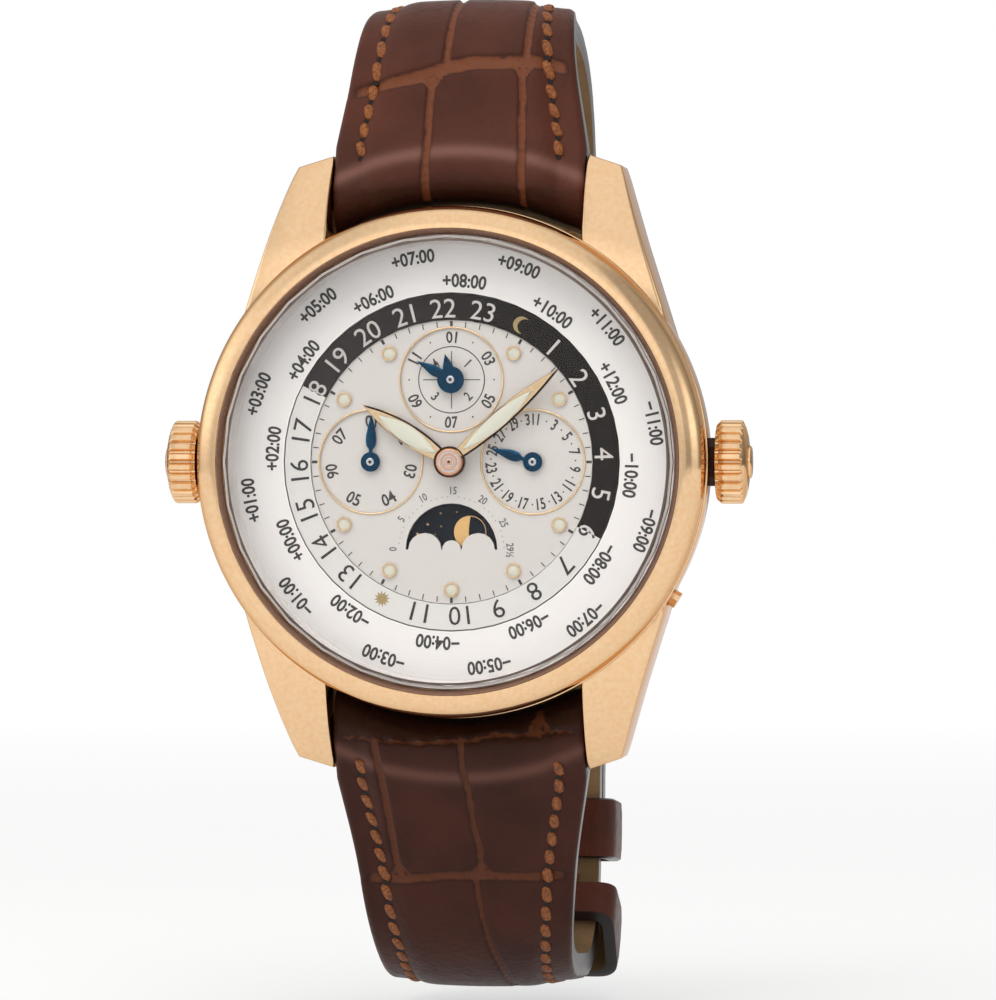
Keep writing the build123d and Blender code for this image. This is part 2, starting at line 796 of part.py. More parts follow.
def balance_cock():
    """One-armed bridge that reaches from the edge of the plate over the balance."""
    x, y = balance_xy
    foot = at_angle(leg_at, leg_cock_deg)
    reach = hypot(foot[0] - x, foot[1] - y)
    arm = Pos(x, y, bridge_z) * Rot(0, 0, direction_to(balance_xy, foot)) * (
        block(0, reach, -cock_half, cock_half, 0, bridge_top_z - bridge_z)
        + post(cock_half, 0, bridge_top_z - bridge_z, sides=stud_sides))
    arm &= bridge_blank() & block(-movement_r, movement_r, -movement_r, bridge_split_y - bridge_split,
                                  bridge_z, bridge_top_z)
    return arm + post(bridge_leg_r, bridge_top_z, plate_z, *foot)


def direction_to(start, end):
    """Angle from one point to another, counter-clockwise from 3 o'clock."""
    return Vector(1, 0).get_signed_angle(Vector(end[0] - start[0], end[1] - start[1]), Vector(0, 0, 1))


def bridge_screws():
    head_r, head_h = 0.8 * bridge_leg_r, (bridge_top_z - bridge_z) / 4
    screws = []
    for deg in leg_barrel_degs + leg_train_degs + (leg_cock_deg,):
        x, y = at_angle(leg_at, deg)
        screws.append(post(head_r, bridge_z - head_h, bridge_z, x, y, stud_sides).solids()[0])
    return Compound(children=screws)


def jewels():
    stones = []
    stone_r, stone_h = 3 * arbor_r, (bridge_top_z - bridge_z) / 6
    for x, y in (third_xy, fourth_xy, escape_xy, barrel_xy, balance_xy):
        stones.append(post(stone_r, bridge_z - stone_h, bridge_z, x, y, stud_sides).solids()[0])
    return Compound(children=stones)


def centre_wheel():
    wheel = toothed(centre_wheel_teeth, centre_module, centre_wheel_z, centre_wheel_z + train_t, third_deg)
    leaves = toothed(centre_pinion_teeth, barrel_module, barrel_top_z - pinion_t - 2 * running_gap,
                     barrel_top_z, barrel_deg)
    arbor = post(arbor_r, centre_wheel_z, minute_hand_z - running_gap)
    return wheel + leaves + arbor


def barrel_drum():
    teeth_low = barrel_top_z - pinion_t
    turn = meshed_turn(barrel_deg, barrel_deg, centre_pinion_teeth, barrel_teeth)
    drum = toothed(barrel_teeth, barrel_module, teeth_low, barrel_top_z, turn)
    drum += post(barrel_drum_r, barrel_z, teeth_low, sides=2 * stud_sides)
    well_r = barrel_drum_r - mainspring_wire
    drum -= post(well_r, barrel_z - overrun, barrel_top_z - mainspring_wire, sides=2 * stud_sides)
    return Pos(*barrel_xy) * (drum - bore(3 * arbor_r, barrel_z, barrel_top_z, sides=stud_sides))


def spiral(inner, outer, turns, wire, low, high):
    """A flat coiled strip: short chords whose radius grows evenly with the angle."""
    steps = int(turns * spiral_steps)
    rings = []
    for side_sign in (-1, 1):
        rings.append([at_angle(inner + (outer - inner) * k / steps + side_sign * wire / 2,
                               360 * turns * k / steps) for k in range(steps + 1)])
    return slab(rings[0] + rings[1][::-1], low, high)


def mainspring():
    """The coiled spring, hooked at its inner end to the barrel arbor that runs from bridge to plate."""
    inner, outer = 3 * arbor_r, barrel_drum_r - 2.5 * mainspring_wire
    low, high = barrel_z + running_gap, barrel_top_z - 1.5 * mainspring_wire
    coil = spiral(inner, outer, mainspring_turns, mainspring_wire, low, high)
    arbor = post(3 * arbor_r, bridge_top_z + running_gap, plate_z - running_gap, sides=stud_sides)
    return Pos(*barrel_xy) * (coil + arbor)


def train_wheel(xy, teeth, module, low, leaves, leaf_module, leaf_low, turn, leaf_turn):
    wheel = toothed(teeth, module, low, low + train_t, turn)
    pinion = toothed(leaves, leaf_module, leaf_low, leaf_low + pinion_t, leaf_turn)
    arbor = post(arbor_r, bridge_top_z + running_gap, plate_z - running_gap)
    return Pos(*xy) * (wheel + pinion + arbor)


def third_wheel():
    leaf_turn = meshed_turn(third_deg, third_deg, centre_wheel_teeth, third_pinion_teeth)
    return train_wheel(third_xy, third_wheel_teeth, third_module, third_wheel_z, third_pinion_teeth,
                       centre_module, centre_wheel_z - wheel_gap, fourth_deg, leaf_turn)


def fourth_wheel():
    leaf_turn = meshed_turn(fourth_deg, fourth_deg, third_wheel_teeth, fourth_pinion_teeth)
    return train_wheel(fourth_xy, fourth_wheel_teeth, fourth_module, fourth_wheel_z, fourth_pinion_teeth,
                       third_module, third_wheel_z - wheel_gap, escape_deg, leaf_turn)


def escape_wheel():
    leaf_turn = meshed_turn(escape_deg, escape_deg, fourth_wheel_teeth, escape_pinion_teeth)
    points = [at_angle(out * escape_r, 360 / escape_teeth * (k + along))
              for k in range(escape_teeth) for out, along in escape_tooth_shares]
    wheel = slab(points, escape_z, escape_z + train_t / 2)
    pinion = toothed(escape_pinion_teeth, fourth_module, escape_z + train_t, fourth_wheel_z + pinion_t / 2,
                     leaf_turn)
    arbor = post(arbor_r, bridge_top_z + running_gap, plate_z - running_gap)
    return Pos(*escape_xy) * (wheel + pinion + arbor)


def pallet_fork():
    """The anchor: a lever toward the balance roller and two arms over the escape wheel."""
    lever = balance_offset * (1 - fork_place_share) - roller_r - 3 * running_gap
    arms = balance_offset * fork_place_share - escape_r - 4 * running_gap
    low, high = fork_z - train_t / 2, fork_z + train_t
    fork = block(0, lever, -fork_half, fork_half, low, high)
    fork += block(-fork_half, fork_half, -escape_r / 2, escape_r / 2, low, high)
    for side_sign in (1, -1):
        tip = escape_r / 2 * side_sign
        fork += block(-arms / 2, fork_half, *sorted((tip, tip - side_sign * 2 * fork_half)), low, high)
    fork += post(arbor_r, bridge_top_z + running_gap, plate_z - running_gap)
    return Pos(*fork_xy) * Rot(0, 0, balance_deg) * fork


def balance_wheel():
    x, y = balance_xy
    rim = washer(balance_r, balance_r - balance_rim, balance_z, balance_z + balance_t, 2 * stud_sides)
    arm = block(-balance_r + balance_rim / 2, balance_r - balance_rim / 2, -spoke_half, spoke_half,
                balance_z, balance_z + balance_t)
    staff = post(arbor_r, bridge_top_z + running_gap, plate_z - running_gap)
    roller = post(roller_r, fork_z - train_t, fork_z + train_t, sides=stud_sides)
    return Pos(x, y) * (rim + arm + staff + roller)


def hairspring():
    coil = spiral(hairspring_in_r, hairspring_out_r, hairspring_turns, hairspring_wire,
                  hairspring_z, hairspring_z + 2 * hairspring_wire)
    return Pos(*balance_xy) * coil


def rotor():
    """A half disc with a heavy rim, hung on the centre bearing under the back glass."""
    web = disc(rotor_r, rotor_z, rotor_z + rotor_t, sides=hidden_sides)
    rim = washer(rotor_r, rotor_r - rotor_rim, rotor_z, rotor_z + rotor_rim_t, hidden_sides)
    swing = (web + rim) & block(-rotor_r, rotor_r, -rotor_r, rotor_boss_r / 2, rotor_z, bridge_z)
    swing += post(rotor_boss_r, rotor_z, rotor_z + rotor_t, sides=small_sides)
    return swing - bore(bearing_r, rotor_z, rotor_z + rotor_t, sides=small_sides)


def rotor_bearing():
    pin = post(bearing_r, bearing_foot_z, bridge_top_z, sides=small_sides)
    head = post(bearing_r + rotor_rim / 6, bearing_foot_z - running_gap, rotor_z - running_gap,
                sides=small_sides)
    return pin + head


def crown_tube(side_sign):
    tube = washer(tube_r, tube_bore_r, bore_r + seat_gap, tube_out, stud_sides)
    return along_x(tube, side_sign)


def crown_tubes():
    return Compound(children=[crown_tube(1).solids()[0], crown_tube(-1).solids()[0]])


def crown():
    """A fluted crown pointing up the z axis, with a bore for its tube."""
    low, high = crown_foot, crown_foot + crown_len
    inset = crown_r - crown_groove
    body = slab(tooth_points(crown_flutes, crown_r, inset), low, high)
    body += loft([Pos(0, 0, high) * RegularPolygon(inset, crown_flutes),
                  Pos(0, 0, high + crown_dome_h) * RegularPolygon(crown_dome_r, crown_flutes)], ruled=True)
    body += post(crown_boss_r, high + crown_dome_h, high + crown_dome_h + crown_boss_h, sides=stud_sides)
    return body - post(crown_bore_r, low - overrun, low + crown_bore_d, sides=small_sides)


def crown_right():
    return along_x(crown())


def crown_left():
    return along_x(crown(), -1)


def winding_stem():
    square = stem_square - running_gap
    stem = post(stem_r, pinion_far + crown_pull + 2 * running_gap, crown_foot + crown_bore_d,
                sides=stud_sides)
    key = Pos(0, 0, (stem_inner + pinion_far + crown_pull) / 2 + 2 * running_gap) * Box(
        square, square, pinion_far + crown_pull - stem_inner + 2 * running_gap)
    return along_x(stem + key)


def winding_pinion():
    tip, root = winding_pinion_r, winding_pinion_r - 2 * crown_groove
    points = tooth_points(winding_pinion_teeth, tip, root)
    low, high = pinion_near, pinion_far
    blank = slab(points, low, high)
    hole = Pos(0, 0, (low + high) / 2) * Box(stem_square, stem_square, high - low + overrun)
    return along_x(blank - hole)


def city_pinion():
    """Left stem with the pinion that turns the city ring by its face teeth."""
    pitch_r = city_pinion_teeth * (city_gear_r + city_gear_bore_r) / 2 / city_teeth
    points = tooth_points(city_pinion_teeth, pitch_r + city_tooth_h * city_leaf_share,
                          pitch_r - city_tooth_h * city_leaf_root_share)
    low = city_pinion_foot
    pinion = slab(points, low, low + city_pinion_face)
    stem = post(stem_r, movement_r + 2 * running_gap, crown_foot + crown_bore_d, sides=stud_sides)
    return along_x(pinion + stem, -1)


def corrector(deg):
    pin = post(corrector_r, corrector_in, corrector_out, sides=stud_sides)
    return Pos(0, 0, stem_z) * Rot(0, 0, deg) * Rot(0, 90, 0) * pin


def corrector_right():
    return corrector(corrector_degs[0])


def corrector_left():
    return corrector(corrector_degs[1])


# The strap's closed loop in the y-z plane, walked from the lower spring bar round the back to the
# upper one. A leg is (length, turn in degrees); headings are counter-clockwise from +y.
def arc_leg(radius, turn):
    return radius * radians(turn), turn


def leg_move(heading, length, turn):
    if turn == 0:
        return length * cos(radians(heading)), length * sin(radians(heading))
    radius = length / radians(turn)
    after = heading + turn
    return (radius * (sin(radians(after)) - sin(radians(heading))),
            radius * (cos(radians(heading)) - cos(radians(after))))


def loop_legs():
    """All legs of the loop. The far run and the top run get the lengths that close it."""
    start = 180 + loop_lower_deg
    legs = [(lower_run, 0), arc_leg(lower_bend_r, lower_bend_deg), (floor_run, 0),
            arc_leg(corner_r, 360 - corner_end_deg - start - lower_bend_deg),
            arc_leg(far_lower_r, corner_end_deg),
            None, arc_leg(far_upper_r, far_upper_deg), arc_leg(top_back_r, 90 - top_deg - far_upper_deg),
            None, arc_leg(top_bend_r, 90 + top_deg - loop_upper_deg), (upper_run, 0)]
    heading, y, z, free = start, -bar_y, bar_z, []
    for leg in legs:
        if leg is None:
            free.append(heading)
            continue
        dy, dz = leg_move(heading, *leg)
        y, z, heading = y + dy, z + dz, heading + leg[1]
    (a, b), (c, d) = [(cos(radians(h)), sin(radians(h))) for h in free]
    gap_y, gap_z = bar_y - y, bar_z - z
    det = a * d - c * b
    far_run, top_run = (gap_y * d - c * gap_z) / det, (a * gap_z - gap_y * b) / det
    legs[legs.index(None)] = (far_run, 0)
    legs[legs.index(None)] = (top_run, 0)
    return start, legs


loop_start, loop_parts = loop_legs()
loop_length = sum(leg[0] for leg in loop_parts)
corner_from = lower_run + loop_parts[1][0] + floor_run


def loop_at(s):
    """Place and heading on the loop at a length s from the lower spring bar."""
    heading, y, z = loop_start, -bar_y, bar_z
    for k, (length, turn) in enumerate(loop_parts):
        last = k == len(loop_parts) - 1
        share = s / length if last or k == 0 and s < 0 else min(s / length, 1)
        dy, dz = leg_move(heading, length * share, turn * share)
        y, z, heading = y + dy, z + dz, heading + turn * share
        s -= length * share
        if s <= 0 and share <= 1:
            break
    return y, z, heading


def loop_plane(s):
    """Plane across the strap: x along the bar, y away from the wrist, z onward along the loop."""
    y, z, heading = loop_at(s)
    return Plane(origin=(0, y, z), x_dir=(1, 0, 0), z_dir=(0, cos(radians(heading)), sin(radians(heading))))


def loop_stations(low, high):
    """Lengths at which the strap gets a section: the ends of every leg, and steps along the bent ones."""
    stops, at = [low], 0
    for length, turn in loop_parts:
        count = max(1, round(max(length / bend_step, turn / bend_step_deg))) if turn else 1
        stops += [at + length * k / count for k in range(count + 1)]
        at += length
    inside = sorted({round(s, 6) for s in stops if low < s < high})
    kept = [low]
    for s in inside + [high]:
        if s - kept[-1] > running_gap:
            kept.append(s)
    return kept


def half_width(from_bar):
    left = max(0, 1 - max(from_bar, 0) / strap_taper)
    return strap_end_half + (strap_lug_half - strap_end_half) * left ** 2


def thickness(from_bar):
    left = max(0, 1 - max(from_bar, 0) / strap_thin)
    return strap_end_t + (strap_lug_t - strap_end_t) * left ** 2


tail_lift = strap_end_t + strap_layer_gap


def tail_offset(s):
    """How far the tail lies outside the loop line: it climbs onto the buckle half at the buckle."""
    share = min(1, max(0, (buckle_at + tail_start + tail_rise - s) / tail_rise))
    return tail_lift * share * share * (3 - 2 * share)


def strap_section(from_bar, offset=0):
    return Pos(0, offset) * Rectangle(2 * half_width(from_bar), thickness(from_bar))


def bar_cutters(sign):
    """What the strap leaves free: the spring bar's hole and the round flank of the case."""
    hole = Rot(0, 90, 0) * bore(bar_r, -strap_lug_half, strap_lug_half, sides=stud_sides)
    return Pos(0, sign * bar_y, bar_z) * hole + post(
        case_r + strap_case_gap, lug_toe_z - strap_lug_t, band_top_z, sides=hidden_sides)


def strap_lower():
    """Buckle half: from the lower bar to the buckle bar, with its slot for the tongue."""
    sections = [loop_plane(s) * strap_section(s) for s in loop_stations(-strap_start, buckle_at + buckle_end)]
    half = loft(sections, ruled=True)
    hole = Rot(0, 90, 0) * bore(buckle_bar_r, -strap_end_half, strap_end_half, sides=stud_sides)
    slot = block(-tongue_slot_half, tongue_slot_half, -strap_lug_t, strap_lug_t,
                 -tongue_slot_back, buckle_end + overrun)
    return half - bar_cutters(-1) - loop_plane(buckle_at) * (hole + slot)


def strap_upper():
    """Long half: over the top, down the back, through the buckle and both keepers."""
    climb = buckle_at + tail_start
    stations = [s for s in loop_stations(tail_end_at, loop_length + strap_start)
                if not buckle_at < s < climb + tail_rise + overrun]
    stations = sorted(stations + [climb + tail_rise * k / tail_steps for k in range(tail_steps + 1)])
    sections = [loop_plane(s) * strap_section(loop_length - s, tail_offset(s)) for s in stations]
    half = loft(sections, ruled=True)
    hole = block(-tongue_slot_half, tongue_slot_half, 0, 2 * tail_lift,
                 -tongue_slot_back, tongue_slot_front)
    return half - bar_cutters(1) - loop_plane(buckle_at) * hole


def buckle_frame():
    """Frame with two arms and an end bar outside the tail, on the buckle bar."""
    outer = frame_inner_half + frame_arm
    plan = block(-outer, outer, -frame_t, frame_lift + frame_t,
                 -frame_t / 2 - buckle_bar_r, frame_len + frame_end)
    plan -= block(-frame_inner_half, frame_inner_half, -overrun - frame_t, frame_lift + 2 * frame_t,
                  -overrun - frame_t, frame_len)
    back = -frame_t / 2 - buckle_bar_r
    side = make_face(Polyline(
        (-frame_t / 2, back), (frame_t / 2, back), (frame_lift + frame_t / 2, frame_len),
        (frame_lift + frame_t / 2, frame_len + frame_end), (frame_lift - frame_t / 2, frame_len + frame_end),
        (frame_lift - frame_t / 2, frame_len), close=True))
    band = extrude(Plane.YZ * side, 2 * outer, both=True, dir=(1, 0, 0))
    hole = Rot(0, 90, 0) * bore(buckle_bar_r, -outer, outer, sides=stud_sides, play=seat_gap)
    return loop_plane(buckle_at) * ((plan & band) - hole)


def buckle_tongue():
    """An eye round the bar, a rise through the tail's hole and a finger over the frame's end."""
    top = tongue_rise + tongue_t
    tip = frame_len + frame_end
    side = make_face(Polyline(
        (0, -tongue_near), (top, tongue_near), (tongue_rest + tongue_t, tip), (tongue_rest, tip),
        (tongue_rise, tongue_near + 1.3 * tongue_t), (0, tongue_eye_r), close=True))
    finger = extrude(Plane.YZ * side, tongue_half, both=True, dir=(1, 0, 0))
    eye = Rot(0, 90, 0) * post(tongue_eye_r, -tongue_half, tongue_half, sides=small_sides)
    pivot = Rot(0, 90, 0) * bore(buckle_bar_r, -tongue_half, tongue_half, sides=stud_sides)
    return loop_plane(buckle_at) * (finger + eye - pivot)


def keeper_section(gap, wall):
    stack = 2 * strap_end_t + strap_layer_gap
    half, high = strap_end_half + gap, stack / 2 + strap_layer_gap
    loop = Rectangle(2 * (half + wall), 2 * (high + wall)) - Rectangle(2 * half, 2 * high)
    return Pos(0, tail_lift / 2) * loop


def fixed_keeper():
    band = extrude(keeper_section(fixed_keeper_gap, keeper_wall), fixed_keeper_len / 2, both=True)
    return loop_plane(fixed_keeper_at) * band


def corner_centre():
    y, z, heading = loop_at(corner_from)
    return y - corner_r * sin(radians(heading)), z + corner_r * cos(radians(heading))


def free_keeper():
    """Loose keeper on the round lower back corner, turned about the corner's own centre."""
    start = corner_from + corner_r * radians(free_keeper_from_deg)
    section = loop_plane(start) * keeper_section(free_keeper_gap, free_keeper_wall)
    cy, cz = corner_centre()
    return revolve(section, Axis((0, cy, cz), (1, 0, 0)), free_keeper_to_deg - free_keeper_from_deg)


nodes = {
    "case_middle": case_middle, "bezel": bezel, "crystal": crystal, "gaskets": gaskets,
    "dial_flange": dial_flange, "case_back_ring": case_back_ring, "case_back_glass": case_back_glass,
    "strap_bars": strap_bars, "crown_tubes": crown_tubes,
    "crown_right": crown_right, "winding_stem": winding_stem, "winding_pinion": winding_pinion,
    "crown_left": crown_left, "city_pinion": city_pinion, "corrector_right": corrector_right,
    "corrector_left": corrector_left, "city_ring": city_ring, "hour_ring": hour_ring,
    "main_dial": main_dial, "hour_markers": hour_markers, "hour_hand": hour_hand,
    "minute_hand": minute_hand, "cannon_pinion": cannon_pinion, "minute_wheel": minute_wheel,
    "hour_wheel": hour_wheel,
    "ring_idler": ring_idler, "day_hand": day_hand, "day_star": day_star, "date_hand": date_hand,
    "date_wheel": date_wheel, "month_hand": month_hand, "month_star": month_star,
    "leap_hand": leap_hand, "leap_cam": leap_cam, "moon_disc": moon_disc,
    "movement_ring": movement_ring, "main_plate": main_plate, "barrel_bridge": barrel_bridge,
    "train_bridge": train_bridge, "balance_cock": balance_cock, "bridge_screws": bridge_screws,
    "jewels": jewels, "barrel_drum": barrel_drum,
    "mainspring": mainspring, "centre_wheel": centre_wheel, "third_wheel": third_wheel,
    "fourth_wheel": fourth_wheel, "escape_wheel": escape_wheel, "pallet_fork": pallet_fork,
    "balance_wheel": balance_wheel, "hairspring": hairspring, "rotor": rotor,
    "rotor_bearing": rotor_bearing, "strap_upper": strap_upper, "strap_lower": strap_lower,
    "buckle_frame": buckle_frame, "buckle_tongue": buckle_tongue,
    "fixed_keeper": fixed_keeper, "free_keeper": free_keeper,
}

stand_up = Rot(90, 0, 0)
os.makedirs("parts", exist_ok=True)
for name, make in nodes.items():
    export_step(stand_up * make(), f"parts/{name}.step")
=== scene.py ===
import math
import bmesh
import bpy
import numpy as np
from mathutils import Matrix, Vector


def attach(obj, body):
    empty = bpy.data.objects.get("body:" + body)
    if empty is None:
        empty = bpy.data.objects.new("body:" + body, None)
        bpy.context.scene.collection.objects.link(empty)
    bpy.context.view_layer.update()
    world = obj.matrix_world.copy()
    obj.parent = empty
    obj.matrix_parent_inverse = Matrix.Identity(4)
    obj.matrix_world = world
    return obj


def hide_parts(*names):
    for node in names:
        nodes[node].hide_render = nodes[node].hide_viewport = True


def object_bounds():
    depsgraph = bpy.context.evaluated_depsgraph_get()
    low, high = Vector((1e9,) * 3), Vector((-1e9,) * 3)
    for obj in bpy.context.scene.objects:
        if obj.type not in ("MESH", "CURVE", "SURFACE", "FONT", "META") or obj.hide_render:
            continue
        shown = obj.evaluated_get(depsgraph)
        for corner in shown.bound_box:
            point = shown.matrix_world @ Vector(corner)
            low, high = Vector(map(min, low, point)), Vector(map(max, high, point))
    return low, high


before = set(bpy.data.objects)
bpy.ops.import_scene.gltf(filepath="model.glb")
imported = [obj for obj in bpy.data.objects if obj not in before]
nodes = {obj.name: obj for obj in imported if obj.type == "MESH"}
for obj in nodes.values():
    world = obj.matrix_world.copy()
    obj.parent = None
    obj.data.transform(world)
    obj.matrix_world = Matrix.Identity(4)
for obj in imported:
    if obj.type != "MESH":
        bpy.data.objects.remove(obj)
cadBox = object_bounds()
print("frame loaded with", len(nodes), "CAD nodes")

# A world time watch: rose gold case, silvered dial with two display rings, brown alligator strap.
# Places are in bench millimetres: x to 3 o'clock, y to 12 o'clock, z from the back to the glass.
mm = 0.001
degree = math.pi / 180
fullTurn = 2 * math.pi


def toFrame(points):
    # bench (x, y, z) in millimetres stands up as frame (x, -z, y) in metres
    x, y, z = np.moveaxis(np.asarray(points, float), -1, 0)
    return np.stack([x, -z, y], -1) * mm


def smoothStep(share):
    # 0 below 0, 1 above 1 and an S curve between
    t = np.clip(share, 0, 1)
    return t * t * (3 - 2 * t)


def gridFaces(rows, columns, closeRows, closeColumns):
    # one quad between each point of a grid and its next row and column
    row, column = np.meshgrid(np.arange(rows - (not closeRows)),
                              np.arange(columns - (not closeColumns)), indexing="ij")
    nextRow, nextColumn = (row + 1) % rows, (column + 1) % columns
    corners = [row * columns + column, nextRow * columns + column,
               nextRow * columns + nextColumn, row * columns + nextColumn]
    return np.stack(corners, -1).reshape(-1, 4).tolist()


def gridShape(x, y, z, caps=2):
    # a skin round a bar whose rows are its sections; with no caps the last row joins the first
    rows, columns = x.shape
    ends = [list(range(columns)), list(range((rows - 1) * columns, rows * columns))][:caps]
    points = np.stack([x, np.broadcast_to(y, x.shape), np.broadcast_to(z, x.shape)], -1)
    return points.reshape(-1, 3), gridFaces(rows, columns, caps == 0, True) + ends


def lathe(outline, turns, centre=(0, 0)):
    # each (radius, height) of a closed outline goes round the axis through centre
    radius, height = np.asarray(outline, float).T
    angle = np.arange(turns)[:, None] * fullTurn / turns
    return gridShape(centre[0] + radius * np.cos(angle), centre[1] + radius * np.sin(angle), height, 0)


def softened(outline, radius, steps=4):
    # every corner becomes a parabola that starts and ends a radius away, but short of half its side;
    # one radius for all, or one for each corner
    corner = np.asarray(outline, float)
    radius = np.reshape(radius, (-1, 1))
    toLast, toNext = np.roll(corner, 1, 0) - corner, np.roll(corner, -1, 0) - corner
    lastLength = np.linalg.norm(toLast, axis=1, keepdims=True)
    nextLength = np.linalg.norm(toNext, axis=1, keepdims=True)
    most = 0.45
    start = corner + toLast / lastLength * np.minimum(radius, lastLength * most)
    end = corner + toNext / nextLength * np.minimum(radius, nextLength * most)
    t = np.linspace(0, 1, steps)[None, :, None]
    curve = start[:, None] * (1 - t) ** 2 + 2 * corner[:, None] * t * (1 - t) + end[:, None] * t ** 2
    return curve.reshape(-1, 2)


def box(left, right, low, high):
    return [(left, low), (right, low), (right, high), (left, high)]


def prism(outline, low, high):
    # a flat closed outline with a thickness
    outline = np.asarray(outline, float)
    count = len(outline)
    points = np.concatenate([np.c_[outline, np.full(count, z)] for z in (low, high)])
    sides = [[k, (k + 1) % count, (k + 1) % count + count, k + count] for k in range(count)]
    return points, [list(range(count))[::-1], list(range(count, 2 * count))] + sides


def joined(shapes):
    # several (points, faces) as one
    points, faces, start = [], [], 0
    for shapePoints, shapeFaces in shapes:
        points.append(np.reshape(shapePoints, (-1, 3)))
        faces += [[corner + start for corner in face] for face in shapeFaces]
        start += len(points[-1])
    return np.concatenate(points), faces


def moved(shape, x=0, y=0, z=0):
    return shape[0] + np.array([x, y, z]), shape[1]


def turnedBy(shape, clockwiseDegrees):
    # clockwise about the watch's axis, as the hands go
    angle = clockwiseDegrees * degree
    x, y, z = shape[0].T
    return np.stack([x * math.cos(angle) + y * math.sin(angle),
                     -x * math.sin(angle) + y * math.cos(angle), z], -1), shape[1]


def addPiece(name, shape, finishes, body, replaces=(), faceFinish=None, marks=None,
             sharpDegrees=38):
    points, faces = shape
    mesh = bpy.data.meshes.new(name)
    mesh.from_pydata(toFrame(points).tolist(), [], faces)
    for finish in finishes if isinstance(finishes, list) else [finishes]:
        mesh.materials.append(finish)
    if faceFinish is not None:
        mesh.polygons.foreach_set("material_index", np.asarray(faceFinish, np.int32))
    for label, values in (marks or {}).items():
        column = mesh.attributes.new(label, "FLOAT", "POINT")
        column.data.foreach_set("value", values.astype(np.float32).ravel())
    shell = bmesh.new()
    shell.from_mesh(mesh)
    bmesh.ops.remove_doubles(shell, verts=shell.verts, dist=1e-7)
    bmesh.ops.recalc_face_normals(shell, faces=shell.faces)
    shell.to_mesh(mesh)
    shell.free()
    mesh.shade_smooth()
    mesh.set_sharp_from_angle(angle=sharpDegrees * degree)
    piece = bpy.data.objects.new(name, mesh)
    bpy.context.scene.collection.objects.link(piece)
    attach(piece, body)
    if replaces:
        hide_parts(*replaces)


def fromHex(text):
    # an sRGB hex colour as linear red, green, blue and alpha
    value = np.array([int(text[k:k + 2], 16) for k in (1, 3, 5)]) / 255
    linear = np.where(value <= 0.04045, value / 12.92, ((value + 0.055) / 1.055) ** 2.4)
    return (*linear.tolist(), 1.0)


def addNode(tree, kind, inputs=None, **settings):
    node = tree.nodes.new(kind)
    for key, value in settings.items():
        setattr(node, key, value)
    for key, value in (inputs or {}).items():
        if isinstance(value, bpy.types.NodeSocket):
            tree.links.new(value, node.inputs[key])
        else:
            node.inputs[key].default_value = value
    return node


def maths(tree, operation, *values):
    return addNode(tree, "ShaderNodeMath", dict(enumerate(values)), operation=operation).outputs[0]


def inRange(tree, value, low, high, outLow, outHigh, curve="LINEAR"):
    inputs = dict(enumerate((value, low, high, outLow, outHigh)))
    return addNode(tree, "ShaderNodeMapRange", inputs, interpolation_type=curve).outputs[0]


def noise(tree, place, scale, detail, rough=0.5):
    inputs = {"Vector": place, "Scale": scale, "Detail": detail, "Roughness": rough}
    return addNode(tree, "ShaderNodeTexNoise", inputs).outputs[0]


def mixColour(tree, share, first, second):
    # the colours are sockets or hex texts
    first, second = (fromHex(value) if isinstance(value, str) else value for value in (first, second))
    return addNode(tree, "ShaderNodeMix", {0: share, 6: first, 7: second}, data_type="RGBA").outputs[2]


def tintFrom(tree, value, look, low=0.35, high=0.65):
    # from the look's colour to its shade as the value goes from low to high
    return mixColour(tree, inRange(tree, value, low, high, 0.0, 1.0), look["colour"], look["shade"])


def newFinish(name):
    # a bare material, its tree and the place on the watch in millimetres
    finish = bpy.data.materials.new(name)
    finish.use_nodes = True
    tree = finish.node_tree
    tree.nodes.clear()
    place = addNode(tree, "ShaderNodeTexCoord").outputs["Object"]
    scaled = addNode(tree, "ShaderNodeVectorMath", {0: place, "Scale": 1000.0}, operation="SCALE")
    return finish, tree, scaled.outputs[0]


def closeFinish(tree, surface):
    addNode(tree, "ShaderNodeOutputMaterial", {"Surface": surface})


def closeSurface(tree, height, strength, distance, inputs):
    # a height from 0 to 1 stands for that distance in metres
    bump = addNode(tree, "ShaderNodeBump", {"Height": height, "Strength": strength, "Distance": distance})
    shader = addNode(tree, "ShaderNodeBsdfPrincipled", {**inputs, "Normal": bump.outputs[0]})
    closeFinish(tree, shader.outputs[0])


def polishedMetal(name, look):
    # worn-in polish: fine wipe marks vary the roughness, and a faint ripple breaks up long reflections
    finish, tree, place = newFinish(name)
    wipe = noise(tree, place, look["wipeScale"], 4.0)
    ripple = noise(tree, place, look["rippleScale"], 2.0)
    closeSurface(tree, ripple, look["bump"], 0.00002, {
        "Base Color": tintFrom(tree, wipe, look), "Metallic": 1.0,
        "Roughness": inRange(tree, wipe, 0.3, 0.7, look["smooth"], look["rough"]),
        "Specular Tint": fromHex(look.get("edge", "#FFFFFF"))})
    return finish


def grainedMetal(name, look):
    # an even powdery grain, or fine lines round the watch's axis
    finish, tree, place = newFinish(name)
    if look.get("round"):
        flat = addNode(tree, "ShaderNodeVectorMath", {0: place, 1: (1, 0, 1)}, operation="MULTIPLY")
        reach = addNode(tree, "ShaderNodeVectorMath", {0: flat.outputs[0]}, operation="LENGTH")
        place = addNode(tree, "ShaderNodeCombineXYZ", {"X": reach.outputs["Value"]}).outputs[0]
    grain = noise(tree, place, look["grain"], 3.0)
    closeSurface(tree, grain, look["bump"], 0.00001, {
        "Base Color": tintFrom(tree, grain, look, 0.3, 0.7), "Metallic": look.get("metallic", 1.0),
        "Roughness": look["rough"]})
    return finish


